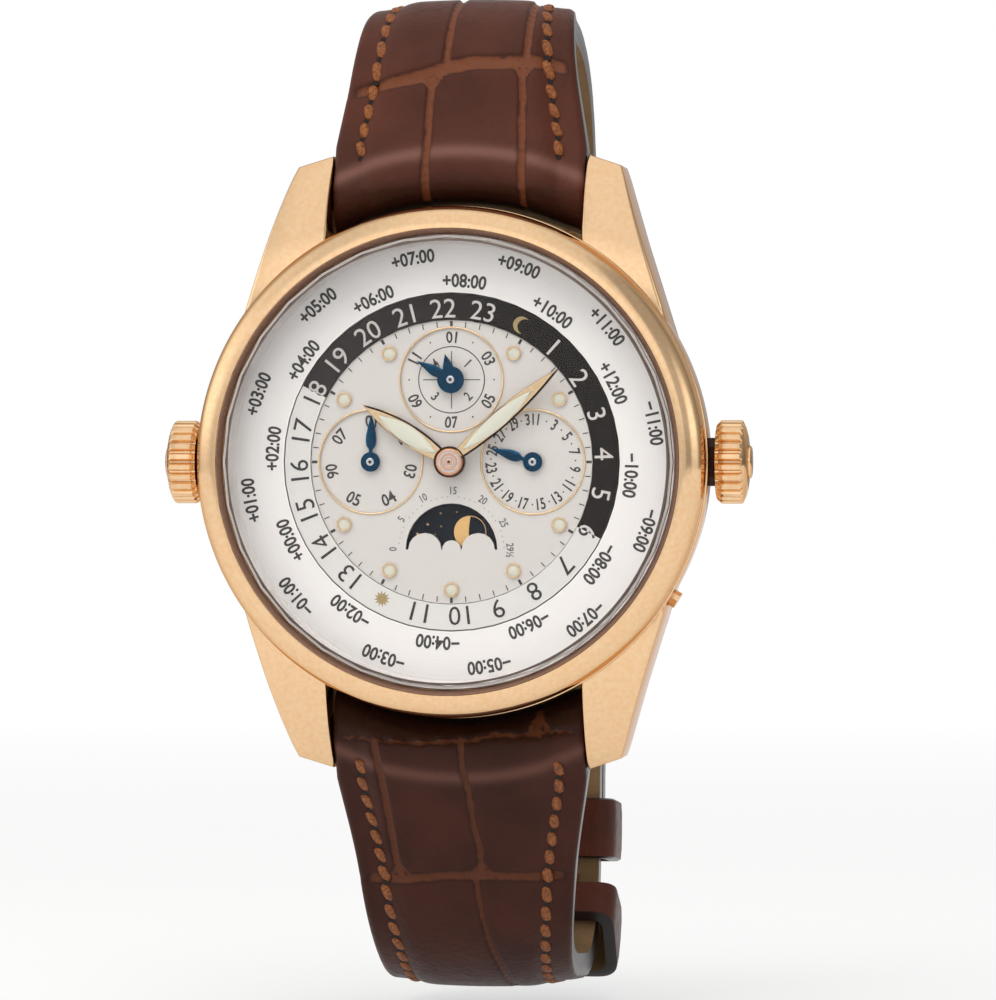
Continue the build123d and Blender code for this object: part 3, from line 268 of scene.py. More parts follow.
def stripedMetal(name, look):
    # straight wave stripes, each a shallow scoop cut by a turning disc; at scale 1 they are 0.314 wide
    finish, tree, place = newFinish(name)
    widthAtOne = 0.314
    wave = addNode(tree, "ShaderNodeTexWave", {
        "Vector": place, "Scale": 1 / look["pitch"] * widthAtOne, "Distortion": 0.0},
        wave_type="BANDS", bands_direction="DIAGONAL", wave_profile="SAW").outputs["Fac"]
    closeSurface(tree, wave, look["bump"], 0.00005, {
        "Base Color": mixColour(tree, wave, look["colour"], look["shade"]), "Metallic": 1.0,
        "Roughness": look["rough"]})
    return finish


def paintFinish(name, look):
    # lacquer, print or luminous paint: a fine speckle in colour and height under an even gloss
    finish, tree, place = newFinish(name)
    speckle = noise(tree, place, look["grain"], 3.0)
    closeSurface(tree, speckle, look["bump"], 0.00001, {
        "Base Color": tintFrom(tree, speckle, look), "Metallic": look.get("metallic", 0.0),
        "Roughness": look["rough"], "Specular IOR Level": look.get("gloss", 0.5),
        "Coat Weight": look.get("coat", 0.0), "Coat Roughness": 0.1})
    return finish


def halvedFinish(name, look):
    # two colours split along the line through the axis that runs from 18 h to 6 h; the night half is
    # painted from one colour on the left to another on the right as a painted reflection: on the lacquer
    # it is paler to the left, where the glass throws more light on it
    finish, tree, place = newFinish(name)
    toward = look["midnightDegrees"] * degree
    side = addNode(tree, "ShaderNodeVectorMath", {0: place, 1: (math.sin(toward), 0, math.cos(toward))},
                   operation="DOT_PRODUCT").outputs["Value"]
    speckle = noise(tree, place, look["grain"], 3.0)
    across = addNode(tree, "ShaderNodeSeparateXYZ", {0: place}).outputs["X"]
    # painted reflection: the night half goes from its left colour at x = -9 mm to its own at x = 6 mm
    dark = mixColour(tree, inRange(tree, across, -9.0, 6.0, 1.0, 0.0), look["night"], look["nightLeftPaintedLight"])
    light = mixColour(tree, inRange(tree, speckle, 0.3, 0.7, 0.0, 1.0), look["day"], look["dayShade"])
    closeSurface(tree, speckle, look["bump"], 0.00001, {
        "Base Color": mixColour(tree, maths(tree, "GREATER_THAN", side, 0.0), light, dark),
        "Metallic": look["metallic"], "Roughness": look["rough"], "Specular IOR Level": 0.25})
    return finish


def clearGlass(name, look):
    # lets lamp light straight through, so that what lies under it is lit as in the open
    finish, tree, place = newFinish(name)
    glass = addNode(tree, "ShaderNodeBsdfPrincipled", {
        "Base Color": fromHex(look["colour"]), "Roughness": look["rough"], "IOR": look["index"],
        "Transmission Weight": 1.0})
    clear = addNode(tree, "ShaderNodeBsdfTransparent")
    shadow = addNode(tree, "ShaderNodeLightPath").outputs["Is Shadow Ray"]
    mix = addNode(tree, "ShaderNodeMixShader", {0: shadow, 1: glass.outputs[0], 2: clear.outputs[0]})
    closeFinish(tree, mix.outputs[0])
    return finish


def leatherFinish(name, look):
    # pores and wrinkles in the height, and lighter colour rubbed into the grooves
    finish, tree, place = newFinish(name)
    pores = addNode(tree, "ShaderNodeTexVoronoi", {"Vector": place, "Scale": 1 / look["poreMm"]})
    cloud = noise(tree, place, 1 / look["cloudMm"], 4.0)
    wrinkle = noise(tree, place, 1 / look["wrinkleMm"], 6.0, 0.65)
    rubbed, burnished, groove = (
        addNode(tree, "ShaderNodeAttribute", attribute_name=label).outputs["Fac"]
        for label in ("rubbed", "burnished", "groove"))
    # painted highlight, paler along the crest of the rolled end, and painted shade, nearly black below it
    # toward the case
    skin = mixColour(tree, rubbed, tintFrom(tree, cloud, look), look["rubbed"])
    skin = mixColour(tree, burnished, skin, look["border"])
    # a dark line runs along each groove's shoulder
    skin = mixColour(tree, inRange(tree, groove, 0.0, 0.35, 0.0, 0.6), skin, look["border"])
    bottom = maths(tree, "MULTIPLY", groove, wrinkle)
    skin = mixColour(tree, inRange(tree, bottom, 0.15, 0.42, 0.0, 1.0), skin, look["groove"])
    height = maths(tree, "ADD", pores.outputs["Distance"], wrinkle)
    closeSurface(tree, height, look["bump"], 0.00006, {
        "Base Color": skin, "Roughness": inRange(tree, wrinkle, 0.3, 0.7, look["smooth"], look["rough"]),
        "Specular IOR Level": look["gloss"]})
    return finish


# 18 ct rose gold, machined and buffed: a warm mirror, paler where it catches the lamps
roseGold = polishedMetal("polishedRoseGold", {
    "colour": "#EFCBA1", "shade": "#EBC294", "edge": "#DCC3AC", "smooth": 0.08, "rough": 0.12,
    "wipeScale": 2.5, "rippleScale": 0.2, "bump": 0.04})
# the bezel's inner slope is satin, coloured a dull brown: a painted reflection of the dark joint beside
# the glass
slopePaintedReflection = paintFinish("satinSlopePaintedReflection", {
    "colour": "#A88370", "shade": "#9C7865", "grain": 4.0, "rough": 0.42, "bump": 0.1, "metallic": 0.35})
# the same gold with the dial side's redder plating
handGold = polishedMetal("platedHandGold", {
    "colour": "#DDC19C", "shade": "#D3B68F", "smooth": 0.16, "rough": 0.24, "wipeScale": 3.0,
    "rippleScale": 1.0, "bump": 0.1})
# painted shade and painted reflection: gold given a nearly black colour, as a polished chamfer that
# mirrors the dark side of the room would look
paintedShadeChamfer = polishedMetal("paintedShadeGoldChamfer", {
    "colour": "#33201A", "shade": "#2A1A15", "smooth": 0.25, "rough": 0.35, "wipeScale": 3.0,
    "rippleScale": 1.0, "bump": 0.05})
# turned gold: circular tool lines round the watch's axis
turnedGold = grainedMetal("turnedGold", {
    "colour": "#D6A68A", "shade": "#CF9E82", "round": True, "grain": 2.5, "rough": 0.32, "bump": 0.04})
# steel heated until its oxide turns deep blue: a dark metal with a clear blue sheen
bluedSteel = polishedMetal("bluedSteel", {
    "colour": "#143F59", "shade": "#0F3249", "smooth": 0.16, "rough": 0.26, "wipeScale": 4.0,
    "rippleScale": 2.0, "bump": 0.1})
# ground stainless steel, a neutral bright grey
brightSteel = polishedMetal("brightSteel", {
    "colour": "#C9CACC", "shade": "#B9BBBE", "smooth": 0.14, "rough": 0.24, "wipeScale": 3.0,
    "rippleScale": 1.0, "bump": 0.15})
# gilt brass wheels, satin from tumbling
giltBrass = grainedMetal("giltBrass", {
    "colour": "#D9B46A", "shade": "#C9A257", "grain": 5.0, "rough": 0.3, "bump": 0.1})
# rhodium plated brass with wave stripes, a cold bright grey
rhodiumStripes = stripedMetal("rhodiumStripes", {
    "colour": "#C6C5C3", "shade": "#A9A8A6", "pitch": 1.6, "rough": 0.28, "bump": 0.35})
# rhodium plated plate and spacer, bead blasted to an even grey
frostedPlate = grainedMetal("frostedPlate", {
    "colour": "#B9B8B6", "shade": "#ADACAA", "grain": 9.0, "rough": 0.42, "bump": 0.3})
# silvered brass: a pale opaline white with a fine powdery grain
silveredDial = grainedMetal("silveredDial", {
    "colour": "#CAC5C0", "shade": "#CBC6C1", "grain": 16.0, "metallic": 0.3, "rough": 0.5, "bump": 0.12})
# the same silver on the outer ring, brushed round the axis
silveredRing = grainedMetal("silveredRing", {
    "colour": "#E8E4E1", "shade": "#E1DDDA", "round": True, "grain": 9.0, "metallic": 0.3, "rough": 0.46,
    "bump": 0.1})
# the sloping ring under the glass, satin silver
flangeSilver = grainedMetal("flangeSilver", {
    "colour": "#DDD8D5", "shade": "#D2CCC9", "round": True, "grain": 7.0, "metallic": 0.3, "rough": 0.34,
    "bump": 0.1})
# lacquered 24 hour ring: satin chocolate brown by night, silver by day
dayNightLacquer = halvedFinish("dayNightLacquer", {
    "midnightDegrees": 27.0, "night": "#120A06", "nightLeftPaintedLight": "#2C2625", "day": "#D4D1CD",
    "dayShade": "#CFCCC8", "grain": 14.0, "metallic": 0.2, "rough": 0.38, "bump": 0.08})
# its numerals, white over the brown and dark over the silver
dayNightInk = halvedFinish("dayNightInk", {
    "midnightDegrees": 27.0, "night": "#C6C0BC", "nightLeftPaintedLight": "#BCB6B2", "day": "#3A3836",
    "dayShade": "#343230", "grain": 30.0, "metallic": 0.0, "rough": 0.5, "bump": 0.1})
# pad printed ink: a soft black, and a grey for the finest figures
blackInk = paintFinish("blackInk", {
    "colour": "#2F2D2C", "shade": "#373534", "grain": 30.0, "rough": 0.5, "bump": 0.1})
greyInk = paintFinish("greyInk", {
    "colour": "#55524F", "shade": "#5E5B58", "grain": 30.0, "rough": 0.5, "bump": 0.1})
# luminous paint by day: chalky cream with a green cast
lumePaint = paintFinish("lumePaint", {
    "colour": "#CBC9BA", "shade": "#C4C2B1", "grain": 8.0, "rough": 0.6, "bump": 0.3})
# night sky lacquer of the moon disc, nearly black with a blue body
skyLacquer = paintFinish("skyLacquer", {
    "colour": "#0E121A", "shade": "#121823", "grain": 2.0, "rough": 0.25, "bump": 0.05, "gloss": 0.15})
# gold powder in lacquer, for the moon and its stars
moonGold = paintFinish("moonGold", {
    "colour": "#DDB478", "shade": "#D2A76B", "grain": 6.0, "rough": 0.35, "bump": 0.1, "metallic": 0.5})
# the ring's two signs: ochre lacquer
signOchre = paintFinish("signOchre", {
    "colour": "#A08A5C", "shade": "#94804F", "grain": 8.0, "rough": 0.45, "bump": 0.1})
# sapphire, front and back; its antireflective coats leave about what an index of 1.2 mirrors
sapphireGlass = clearGlass("coatedSapphire", {"colour": "#FFFFFF", "rough": 0.0, "index": 1.2})
# its rim, a dark line painted round the glass: painted shade for the dark look the rim's refraction gives
glassRimShade = paintFinish("glassRimPaintedShade", {
    "colour": "#6E625C", "shade": "#62574F", "grain": 8.0, "rough": 0.4, "bump": 0.1})
# synthetic ruby bearing stones: clear wine red
ruby = paintFinish("rubyStone", {
    "colour": "#9C1238", "shade": "#86102F", "grain": 3.0, "rough": 0.1, "bump": 0.02, "coat": 0.8})
# moulded silicone rubber: matt, a pale warm grey
sealRubber = paintFinish("sealRubber", {
    "colour": "#C4BBB6", "shade": "#B8AFAA", "grain": 6.0, "rough": 0.6, "bump": 0.3})
# glazed alligator skin, dyed chestnut; the glaze is rubbed off in the grooves and shows a redder brown
hide = {"poreMm": 0.55, "cloudMm": 6.0, "wrinkleMm": 0.9, "bump": 0.45, "smooth": 0.34, "rough": 0.48}
alligator = leatherFinish("glazedAlligator", {
    **hide, "colour": "#522A1E", "shade": "#432217", "groove": "#6C3D27", "border": "#2B1510",
    "rubbed": "#7A5348", "gloss": 0.16})
# the short strap's skin is painted darker: painted shade, for the less light that reaches it as it faces
# down
alligatorPaintedShade = leatherFinish("shadedAlligator", {
    **hide, "colour": "#422017", "shade": "#351911", "groove": "#58311F", "border": "#20100B",
    "rubbed": "#66443A", "gloss": 0.14})
# calf lining: matt tan
tanLining = leatherFinish("tanLining", {
    "colour": "#85684A", "shade": "#78603F", "groove": "#5E452E", "border": "#5E452E",
    "rubbed": "#85684A", "poreMm": 0.35, "cloudMm": 4.0, "wrinkleMm": 0.6, "bump": 0.35,
    "smooth": 0.55, "rough": 0.72, "gloss": 0.3})
# burnished edge paint: several coats of nearly black lacquer
edgePaint = paintFinish("edgePaint", {
    "colour": "#1D1514", "shade": "#251B19", "grain": 3.0, "rough": 0.3, "bump": 0.3, "gloss": 0.35})
# waxed linen thread, rust brown
linenThread = paintFinish("linenThread", {
    "colour": "#94541F", "shade": "#5C2E10", "grain": 5.0, "rough": 0.62, "bump": 0.6})
# painted shade: a dark plug or disc where a hole is, dark because little light comes out of a hole
holeShadePaint = paintFinish("holeShadePaint", {
    "colour": "#1A0F0B", "shade": "#140B08", "grain": 6.0, "rough": 0.8, "bump": 0.2})
print("finishes mixed")

slotFinish = {
    "case_gold": roseGold, "sapphire": sapphireGlass, "seal_rubber": sealRubber,
    "flange_silver": flangeSilver, "steel": brightSteel, "ring_silver": silveredRing,
    "ring_brown": dayNightLacquer, "dial_silver": silveredDial, "hand_gold": handGold,
    "hand_blue": bluedSteel, "wheel_brass": giltBrass, "moon_blue": skyLacquer,
    "bridge_rhodium": rhodiumStripes, "screw_blue": bluedSteel, "ruby": ruby,
    "spring_alloy": brightSteel, "rotor_gold": turnedGold, "strap_leather": alligator,
}
for node in nodes.values():
    node.data.materials[0] = slotFinish[node.data.materials[0].name.split(".")[0]]
for name in ("main_plate", "movement_ring"):
    nodes[name].data.materials[0] = frostedPlate
# the crown tubes take the nearly black gold: painted shade in the gap under each crown
nodes["crown_tubes"].data.materials[0] = paintedShadeChamfer

# the watch head: one barrel-shaped band and four lugs with rolled edges
head = {
    "bandRadius": 20.5, "barrelBack": 0.35, "barrelRise": 0.6, "bandLow": 0.9, "bandTop": 8.6,
    "bore": 16.9, "halfGap": 10.3, "rootDegrees": 33.0, "innerStart": 13.6, "outerRun": 1.9,
    "reach": 24.8, "tipHalf": 13.15, "tipDrop": 0.95, "cornerHalf": 13.5, "cornerDrop": 1.9,
    "tipRoll": 0.12, "tipRollFrom": 0.8, "edges": (0.07, 0.07, 0.07, 0.05),
    "flatTo": 11.5, "crestY": 14.5, "crestSoft": 0.28, "midY": 20.2, "midZ": 7.15, "tipZ": 3.3,
    "bellyY": 17.6, "toeY": 23.4, "toeZ": -0.9, "toeRise": 1.0, "bandClear": 0.04,
}


def circleThrough(first, second, third):
    # centre and radius of the circle through three points
    first, second, third = (np.asarray(point, float) for point in (first, second, third))
    lines = 2 * np.array([second - first, third - first])
    centre = np.linalg.solve(lines, [second @ second - first @ first, third @ third - first @ first])
    return centre, np.linalg.norm(first - centre)


def lugShape():
    # a lofted bar: stations run from the band to the tip, each a soft box between the lug's two sides
    h = head
    rootX = h["bandRadius"] * math.cos(h["rootDegrees"] * degree)
    rootY = h["bandRadius"] * math.sin(h["rootDegrees"] * degree)
    share = np.concatenate([np.linspace(0, 0.9, 26), np.linspace(0.91, 1, 12)])
    # both sides start inside the band: the inner one outside its bore, the outer one on its own line
    innerY = h["innerStart"] + share * (h["reach"] - h["innerStart"])
    outerStart = rootY - h["outerRun"]
    outerY = outerStart + share * (h["reach"] - h["tipDrop"] - outerStart)
    slope = (rootX - h["cornerHalf"]) / (h["reach"] - h["cornerDrop"] - rootY)
    rolled = np.clip((innerY - h["reach"] + h["tipRollFrom"]) / h["tipRollFrom"], 0, 1)
    innerX = h["halfGap"] + h["tipRoll"] * rolled ** 2
    outerX = np.interp(outerY, [outerStart, h["reach"] - h["cornerDrop"], h["reach"] - h["tipDrop"]],
                       [rootX + h["outerRun"] * slope, h["cornerHalf"], h["tipHalf"]])
    across, up = softened(box(0, 1, 0, 1), h["edges"], 5).T
    x = innerX[:, None] + (outerX - innerX)[:, None] * across
    y = innerY[:, None] + (outerY - innerY)[:, None] * across
    centre, radius = circleThrough((h["crestY"], h["bandTop"]), (h["midY"], h["midZ"]),
                                   (h["reach"], h["tipZ"]))
    arc = centre[1] + np.sqrt(np.maximum(radius ** 2 - (y - centre[0]) ** 2, 0))
    arc = np.where(y < h["flatTo"], 99, arc)
    # soft minimum of the flat top and the falling arc
    top = h["bandTop"] - h["crestSoft"] * np.logaddexp(0, (h["bandTop"] - arc) / h["crestSoft"])
    below = np.interp(y, [rootY, h["bellyY"], h["toeY"]],
                      [h["bandLow"] + h["bandClear"], h["bandLow"], h["toeZ"]])
    below = below + h["toeRise"] * np.clip((y - h["toeY"]) / (h["reach"] - h["toeY"]), 0, 1) ** 2
    return gridShape(x, y, below + (np.minimum(top, h["bandTop"]) - below) * up)


low, high, outer = head["bandLow"], head["bandTop"], head["bandRadius"]
bandOutline = softened([(head["bore"], low), (outer - head["barrelBack"], low),
                        (outer, 0.5 * (low + high) + head["barrelRise"]), (outer, high),
                        (head["bore"], high)], [0.1, 0.3, 3.0, 0.2, 0.1], 7)
lugPoints, lugFaces = lugShape()
lugs = [(lugPoints * [xSign, ySign, 1], lugFaces) for xSign in (1, -1) for ySign in (1, -1)]
addPiece("caseBandAndLugs", joined([lathe(bandOutline, 240)] + lugs), roseGold, "root",
         ["case_middle"], sharpDegrees=50)

# bezel: a full round brow between its steep flank and the satin inner slope, which carries a painted
# reflection
bezelLook = {"outer": 20.4, "foot": 8.6, "flankTop": 9.7, "top": 12.3, "lip": 18.55, "lipEdge": 0.06,
             "lipDrop": 0.12, "chamfer": 18.12, "chamferDrop": 0.75, "bore": 18.1, "boreDrop": 0.95}


def bezelShape():
    # the brow is a quarter of a stretched circle from the flank to the lip
    b = bezelLook
    t = np.linspace(0, 1, 22) * math.pi / 2
    browX = b["lip"] + (b["outer"] - b["lip"]) * np.cos(t) ** 0.9
    browZ = b["flankTop"] + (b["top"] - b["flankTop"]) * np.sin(t) ** 0.9
    outline = [(b["bore"], b["foot"]), (b["outer"] - 0.1, b["foot"]), (b["outer"], b["foot"] + 0.1)]
    outline += list(zip(browX, browZ))
    outline += [(b["lip"] - b["lipEdge"], b["top"] - b["lipDrop"]),
                (b["chamfer"], b["top"] - b["chamferDrop"]), (b["bore"], b["top"] - b["boreDrop"])]
    shape = lathe(outline, 256)
    onSlope = np.arange(len(shape[1])) % len(outline) == len(outline) - 3
    return shape, onSlope.astype(int)


bezelMesh, bezelFinish = bezelShape()
addPiece("bezelRing", bezelMesh, [roseGold, slopePaintedReflection], "root", ["bezel"], bezelFinish,
         sharpDegrees=30)

# panes and flange as (radius, height) outlines; the front pane's rim carries a painted dark line
paneLook = {"front": [(0, 11.0), (17.7, 11.0), (17.7, 12.04), (17.52, 12.2), (0, 12.2)],
            "flange": [(17.47, 9.05), (18.07, 9.05), (18.07, 11.0), (18.04, 11.0)],
            "back": box(0, 13.47, 0.05, 0.9), "backSoft": [0, 0.12, 0.1, 0]}
paneMesh = lathe(paneLook["front"], 256)
onRim = np.isin(np.arange(len(paneMesh[1])) % 5, (1, 2)).astype(int)
addPiece("crystalPane", paneMesh, [sapphireGlass, glassRimShade], "root", ["crystal"], onRim)
addPiece("dialFlange", lathe(paneLook["flange"], 256), flangeSilver, "root",
         ["dial_flange"])
addPiece("backPane", lathe(softened(paneLook["back"], paneLook["backSoft"]), 160), sapphireGlass,
         "root", ["case_back_glass"])
print("case, bezel and panes made")

# crowns: 24 rounded flutes with cut-back ends, a turned face and a small boss
crownLook = {"flutes": 24, "radius": 3.35, "valley": 0.34, "foot": 20.95, "length": 2.15,
             "chamfer": 0.32, "dome": 0.45, "domeRadius": 2.75, "boss": 0.2, "bossRadius": 1.3,
             "bore": 2.12, "boreDepth": 0.9, "stemZ": 5.2}


def crownShape(side):
    # the radius round the crown dips sharply between rounded ridges and fades into both ends; each
    # ring is (radius, distance along the stem, share of the dip)
    c = crownLook
    steps = c["flutes"] * 10
    angle = np.arange(steps)[:, None] * fullTurn / steps
    dip = smoothStep((np.abs(np.cos(angle * c["flutes"] / 2)) - 0.72) / 0.24)
    foot, end, radius, boss = c["foot"], c["foot"] + c["length"], c["radius"], c["bossRadius"]
    face, tip = end + c["dome"], end + c["dome"] + c["boss"]
    rings = [(c["bore"], foot + c["boreDepth"], 0), (c["bore"], foot, 0),
             (radius - c["chamfer"] - 0.15, foot, 0), (radius - c["chamfer"], foot + 0.04, 0.2),
             (radius - 0.06, foot + c["chamfer"], 1), (radius, foot + c["chamfer"] + 0.1, 1),
             (radius, end - 0.2, 1), (radius - 0.05, end - 0.08, 1), (radius - 0.2, end, 0.6),
             (radius - 0.32, end + 0.06, 0), (c["domeRadius"], end + 0.18, 0), (2.2, end + 0.33, 0),
             (boss + 0.15, face - 0.02, 0), (boss, face - 0.05, 0), (boss, face + c["boss"] * 0.6, 0),
             (boss - 0.15, tip, 0), (0, tip, 0), (0, foot + c["boreDepth"], 0)]
    radius, out, fade = np.array(rings).T
    reach = radius - c["valley"] * fade * dip
    y, z = reach * np.cos(angle), c["stemZ"] + reach * np.sin(angle)
    return gridShape(side * np.broadcast_to(out, y.shape), y, z, 0)


addPiece("crownFluted3", crownShape(1), roseGold, "winding_crown", ["crown_right"],
         sharpDegrees=32)
addPiece("crownFluted9", crownShape(-1), roseGold, "city_crown", ["crown_left"],
         sharpDegrees=32)
print("crowns made")

# lettering is bare numbers: hours, dates, days, months, leap years, moon age and offsets in hours
printLook = {"rise": 0.015, "dialTop": 8.8, "ringTop": 9.0, "subdialFloor": 8.68}


def flatInk(outline, top):
    return prism(outline, top - printLook["rise"], top + printLook["rise"])


def wordShape(text, height, widthShare, weight):
    # a flat word of that digit height, centred on its own middle, in Blender's own plain font
    curve = bpy.data.curves.new("word", "FONT")
    curve.body, curve.resolution_u, curve.extrude, curve.offset = text, 3, 0.05, weight
    holder = bpy.data.objects.new("word", curve)
    bpy.context.scene.collection.objects.link(holder)
    view = bpy.context.evaluated_depsgraph_get()
    mesh = bpy.data.meshes.new_from_object(holder.evaluated_get(view))
    points = np.zeros(len(mesh.vertices) * 3)
    mesh.vertices.foreach_get("co", points)
    points = points.reshape(-1, 3)
    faces = [list(face.vertices) for face in mesh.polygons]
    bpy.data.objects.remove(holder)
    bpy.data.curves.remove(curve)
    bpy.data.meshes.remove(mesh)
    low, high = points.min(0), points.max(0)
    scale = height / (high[1] - low[1])
    return (points - (low + high) / 2) * [scale * widthShare, scale, 1], faces


def ringWords(words, look, top, centre=(0, 0)):
    # each (text, degrees) is bent along its circle: x runs clockwise and y outward, or both the other
    # way between the look's two inward angles
    shapes = []
    for text, degrees in words:
        points, faces = wordShape(text, look["height"], look["widthShare"], look["weight"])
        sign = -1 if look["inward"][0] < degrees < look["inward"][1] else 1
        angle = degrees * degree + sign * points[:, 0] / look["radius"]
        reach = look["radius"] + sign * points[:, 1]
        z = np.where(points[:, 2] > 0, top + printLook["rise"], top - printLook["rise"])
        x, y = centre[0] + reach * np.sin(angle), centre[1] + reach * np.cos(angle)
        shapes.append((np.stack([x, y, z], -1), faces))
    return shapes


def ringBars(near, far, width, degreesList, top, centre=(0, 0)):
    # radial bars, such as minute marks
    bar = flatInk(box(-width / 2, width / 2, near, far), top)
    return [moved(turnedBy(bar, degrees), *centre) for degrees in degreesList]


def ringDots(radius, dotRadius, degreesList, top, centre=(0, 0), sides=8):
    angle = np.arange(sides) * fullTurn / sides
    outline = np.stack([dotRadius * np.cos(angle), radius + dotRadius * np.sin(angle)], -1)
    return [moved(turnedBy(flatInk(outline, top), degrees), *centre) for degrees in degreesList]


def starOutline(tips, radius, innerShare):
    point = np.arange(2 * tips)
    angle = point * fullTurn / (2 * tips)
    reach = np.where(point % 2 == 0, radius, radius * innerShare)
    return np.stack([reach * np.sin(angle), reach * np.cos(angle)], -1)


# outer ring: one label every 15 degrees, even hours on the inner row and odd ones on the outer
zoneLook = {"height": 1.12, "rows": (14.48, 16.55), "firstDegrees": 4.3, "firstOffset": 8,
            "widthShare": 0.86, "weight": 0.026, "inward": (0, 0)}
labels = []
for step in range(24):
    offset = (zoneLook["firstOffset"] + step + 11) % 24 - 11
    label = f"{'+' if offset >= 0 else '−'}{abs(offset):02d}:00"
    labels += ringWords([(label, zoneLook["firstDegrees"] + 15 * step)],
                        {**zoneLook, "radius": zoneLook["rows"][offset % 2]}, printLook["ringTop"])
addPiece("zonePrint", joined(labels), blackInk, "city")

# 24 hour ring: numerals, a crescent at 24 and a small sun at 12
hourLook = {"height": 1.5, "radius": 12.28, "midnightDegrees": 27.0, "widthShare": 1.0, "weight": 0.0,
            "inward": (0, 0), "crescent": (0.68, 0.3, 0.6), "crescentShift": 0.1, "sun": (12, 0.66, 0.55)}


def crescentOutline(radius, shift, second):
    # inside a circle and outside a second one that is moved sideways; the two cross at x
    x = (shift ** 2 + radius ** 2 - second ** 2) / (2 * shift)
    y = math.sqrt(radius ** 2 - x ** 2)
    outerHorn, innerHorn = math.atan2(y, x), math.atan2(y, x - shift)
    outer = np.linspace(outerHorn, fullTurn - outerHorn, 19)
    inner = np.linspace(fullTurn - innerHorn, innerHorn, 19)[1:-1]
    return np.concatenate([np.stack([radius * np.cos(outer), radius * np.sin(outer)], -1),
                           np.stack([shift + second * np.cos(inner), second * np.sin(inner)], -1)])


ringTop, midnight = printLook["ringTop"], hourLook["midnightDegrees"]
numerals = ringWords([(str(hour), midnight + 15 * hour) for hour in range(1, 24) if hour != 12],
                     hourLook, ringTop)
addPiece("dayNightPrint", joined(numerals), dayNightInk, "day_night")
crescent = moved(flatInk(crescentOutline(*hourLook["crescent"]), ringTop), hourLook["crescentShift"],
                 hourLook["radius"])
sun = moved(flatInk(starOutline(*hourLook["sun"]), ringTop), 0, hourLook["radius"])
addPiece("dayNightSigns", joined([turnedBy(crescent, midnight), turnedBy(sun, midnight + 180)]),
         signOchre, "day_night")

# centre dial: minute marks and the prints of the four small dials
dialLook = {"month": (0, 6.56), "date": (6.56, 0), "day": (-6.5, 0), "moon": (0, -7.0),
            "tick": (10.78, 11.22, 0.085), "bold": (10.84, 11.27, 0.22), "dateDegrees": -4.8,
            "ageDegrees": 0.5, "lunation": 29.5, "cross": (1.0, 2.3, 0.07), "monthLine": (2.61, 2.69),
            "monthDots": (3.42, 0.07), "dateDots": (3.4, 0.07), "ageDots": (4.24, 0.045)}
wordLook = {
    "day": {"height": 1.0, "radius": 3.25, "inward": (110, 290), "widthShare": 0.85, "weight": 0.02},
    "month": {"height": 0.95, "radius": 3.4, "inward": (90, 270), "widthShare": 0.85, "weight": 0.02},
    "leap": {"height": 0.8, "radius": 1.85, "inward": (90, 270), "widthShare": 0.8, "weight": 0.015},
    "date": {"height": 0.93, "radius": 3.4, "inward": (110, 272), "widthShare": 0.7, "weight": 0.02},
    "age": {"height": 0.62, "radius": 4.72, "inward": (0, 0), "widthShare": 0.8, "weight": 0.015},
}


def dateDegrees(day):
    return dialLook["dateDegrees"] + 360 / 31 * day


def ageDegrees(age):
    return (age / dialLook["lunation"] - 0.5) * 180 + dialLook["ageDegrees"]


top, floor = printLook["dialTop"], printLook["subdialFloor"]
marks = ringBars(*dialLook["tick"], [6 * k for k in range(60) if k % 5], top)
marks += ringBars(*dialLook["bold"], [30 * k for k in range(12)], top)
addPiece("minuteMarks", joined(marks), blackInk, "root")

month, date = dialLook["month"], dialLook["date"]
lineLow, lineHigh = floor - printLook["rise"], floor + printLook["rise"]
calendarInk = ringWords([(f"{k + 1:02d}", 360 / 7 * k) for k in range(7)], wordLook["day"], floor,
                        dialLook["day"])
calendarInk += ringWords([(f"{2 * k + 1:02d}", 60 * k) for k in range(6)], wordLook["month"], floor, month)
calendarInk += ringDots(*dialLook["monthDots"], [60 * k + 30 for k in range(6)], floor, month)
calendarInk.append(lathe(box(*dialLook["monthLine"], lineLow, lineHigh), 96, month))
calendarInk += ringBars(*dialLook["cross"], [0, 90, 180, 270], floor, month)
calendarInk += ringWords([(str(k + 1), 45 + 90 * k) for k in range(4)], wordLook["leap"], floor, month)
calendarInk += ringWords([(str(day), dateDegrees(day) % 360) for day in range(1, 32, 2)],
                         wordLook["date"], floor, date)
calendarInk += ringDots(*dialLook["dateDots"], [dateDegrees(day) for day in range(2, 31, 2)], floor, date)
addPiece("calendarPrint", joined(calendarInk), blackInk, "root")

ages = [(str(age), ageDegrees(age)) for age in range(0, 30, 5)] + [("29½", ageDegrees(29.5))]
ageInk = ringWords(ages, wordLook["age"], top, dialLook["moon"])
ageInk += ringDots(*dialLook["ageDots"], [ageDegrees(age) for age in range(30) if age % 5], top,
                   dialLook["moon"], 6)
addPiece("moonAgePrint", joined(ageInk), greyInk, "root")
print("printing made")

# thin gold rims round the three calendar dials
rimLook = {"radius": 4.17, "half": 0.075, "foot": 8.7, "top": 8.9, "soft": 0.06}
rimOutline = softened(box(rimLook["radius"] - rimLook["half"], rimLook["radius"] + rimLook["half"],
                          rimLook["foot"], rimLook["top"]), rimLook["soft"])
rims = [lathe(rimOutline, 128, dialLook[key]) for key in ("month", "date", "day")]
addPiece("calendarRims", joined(rims), handGold, "root")

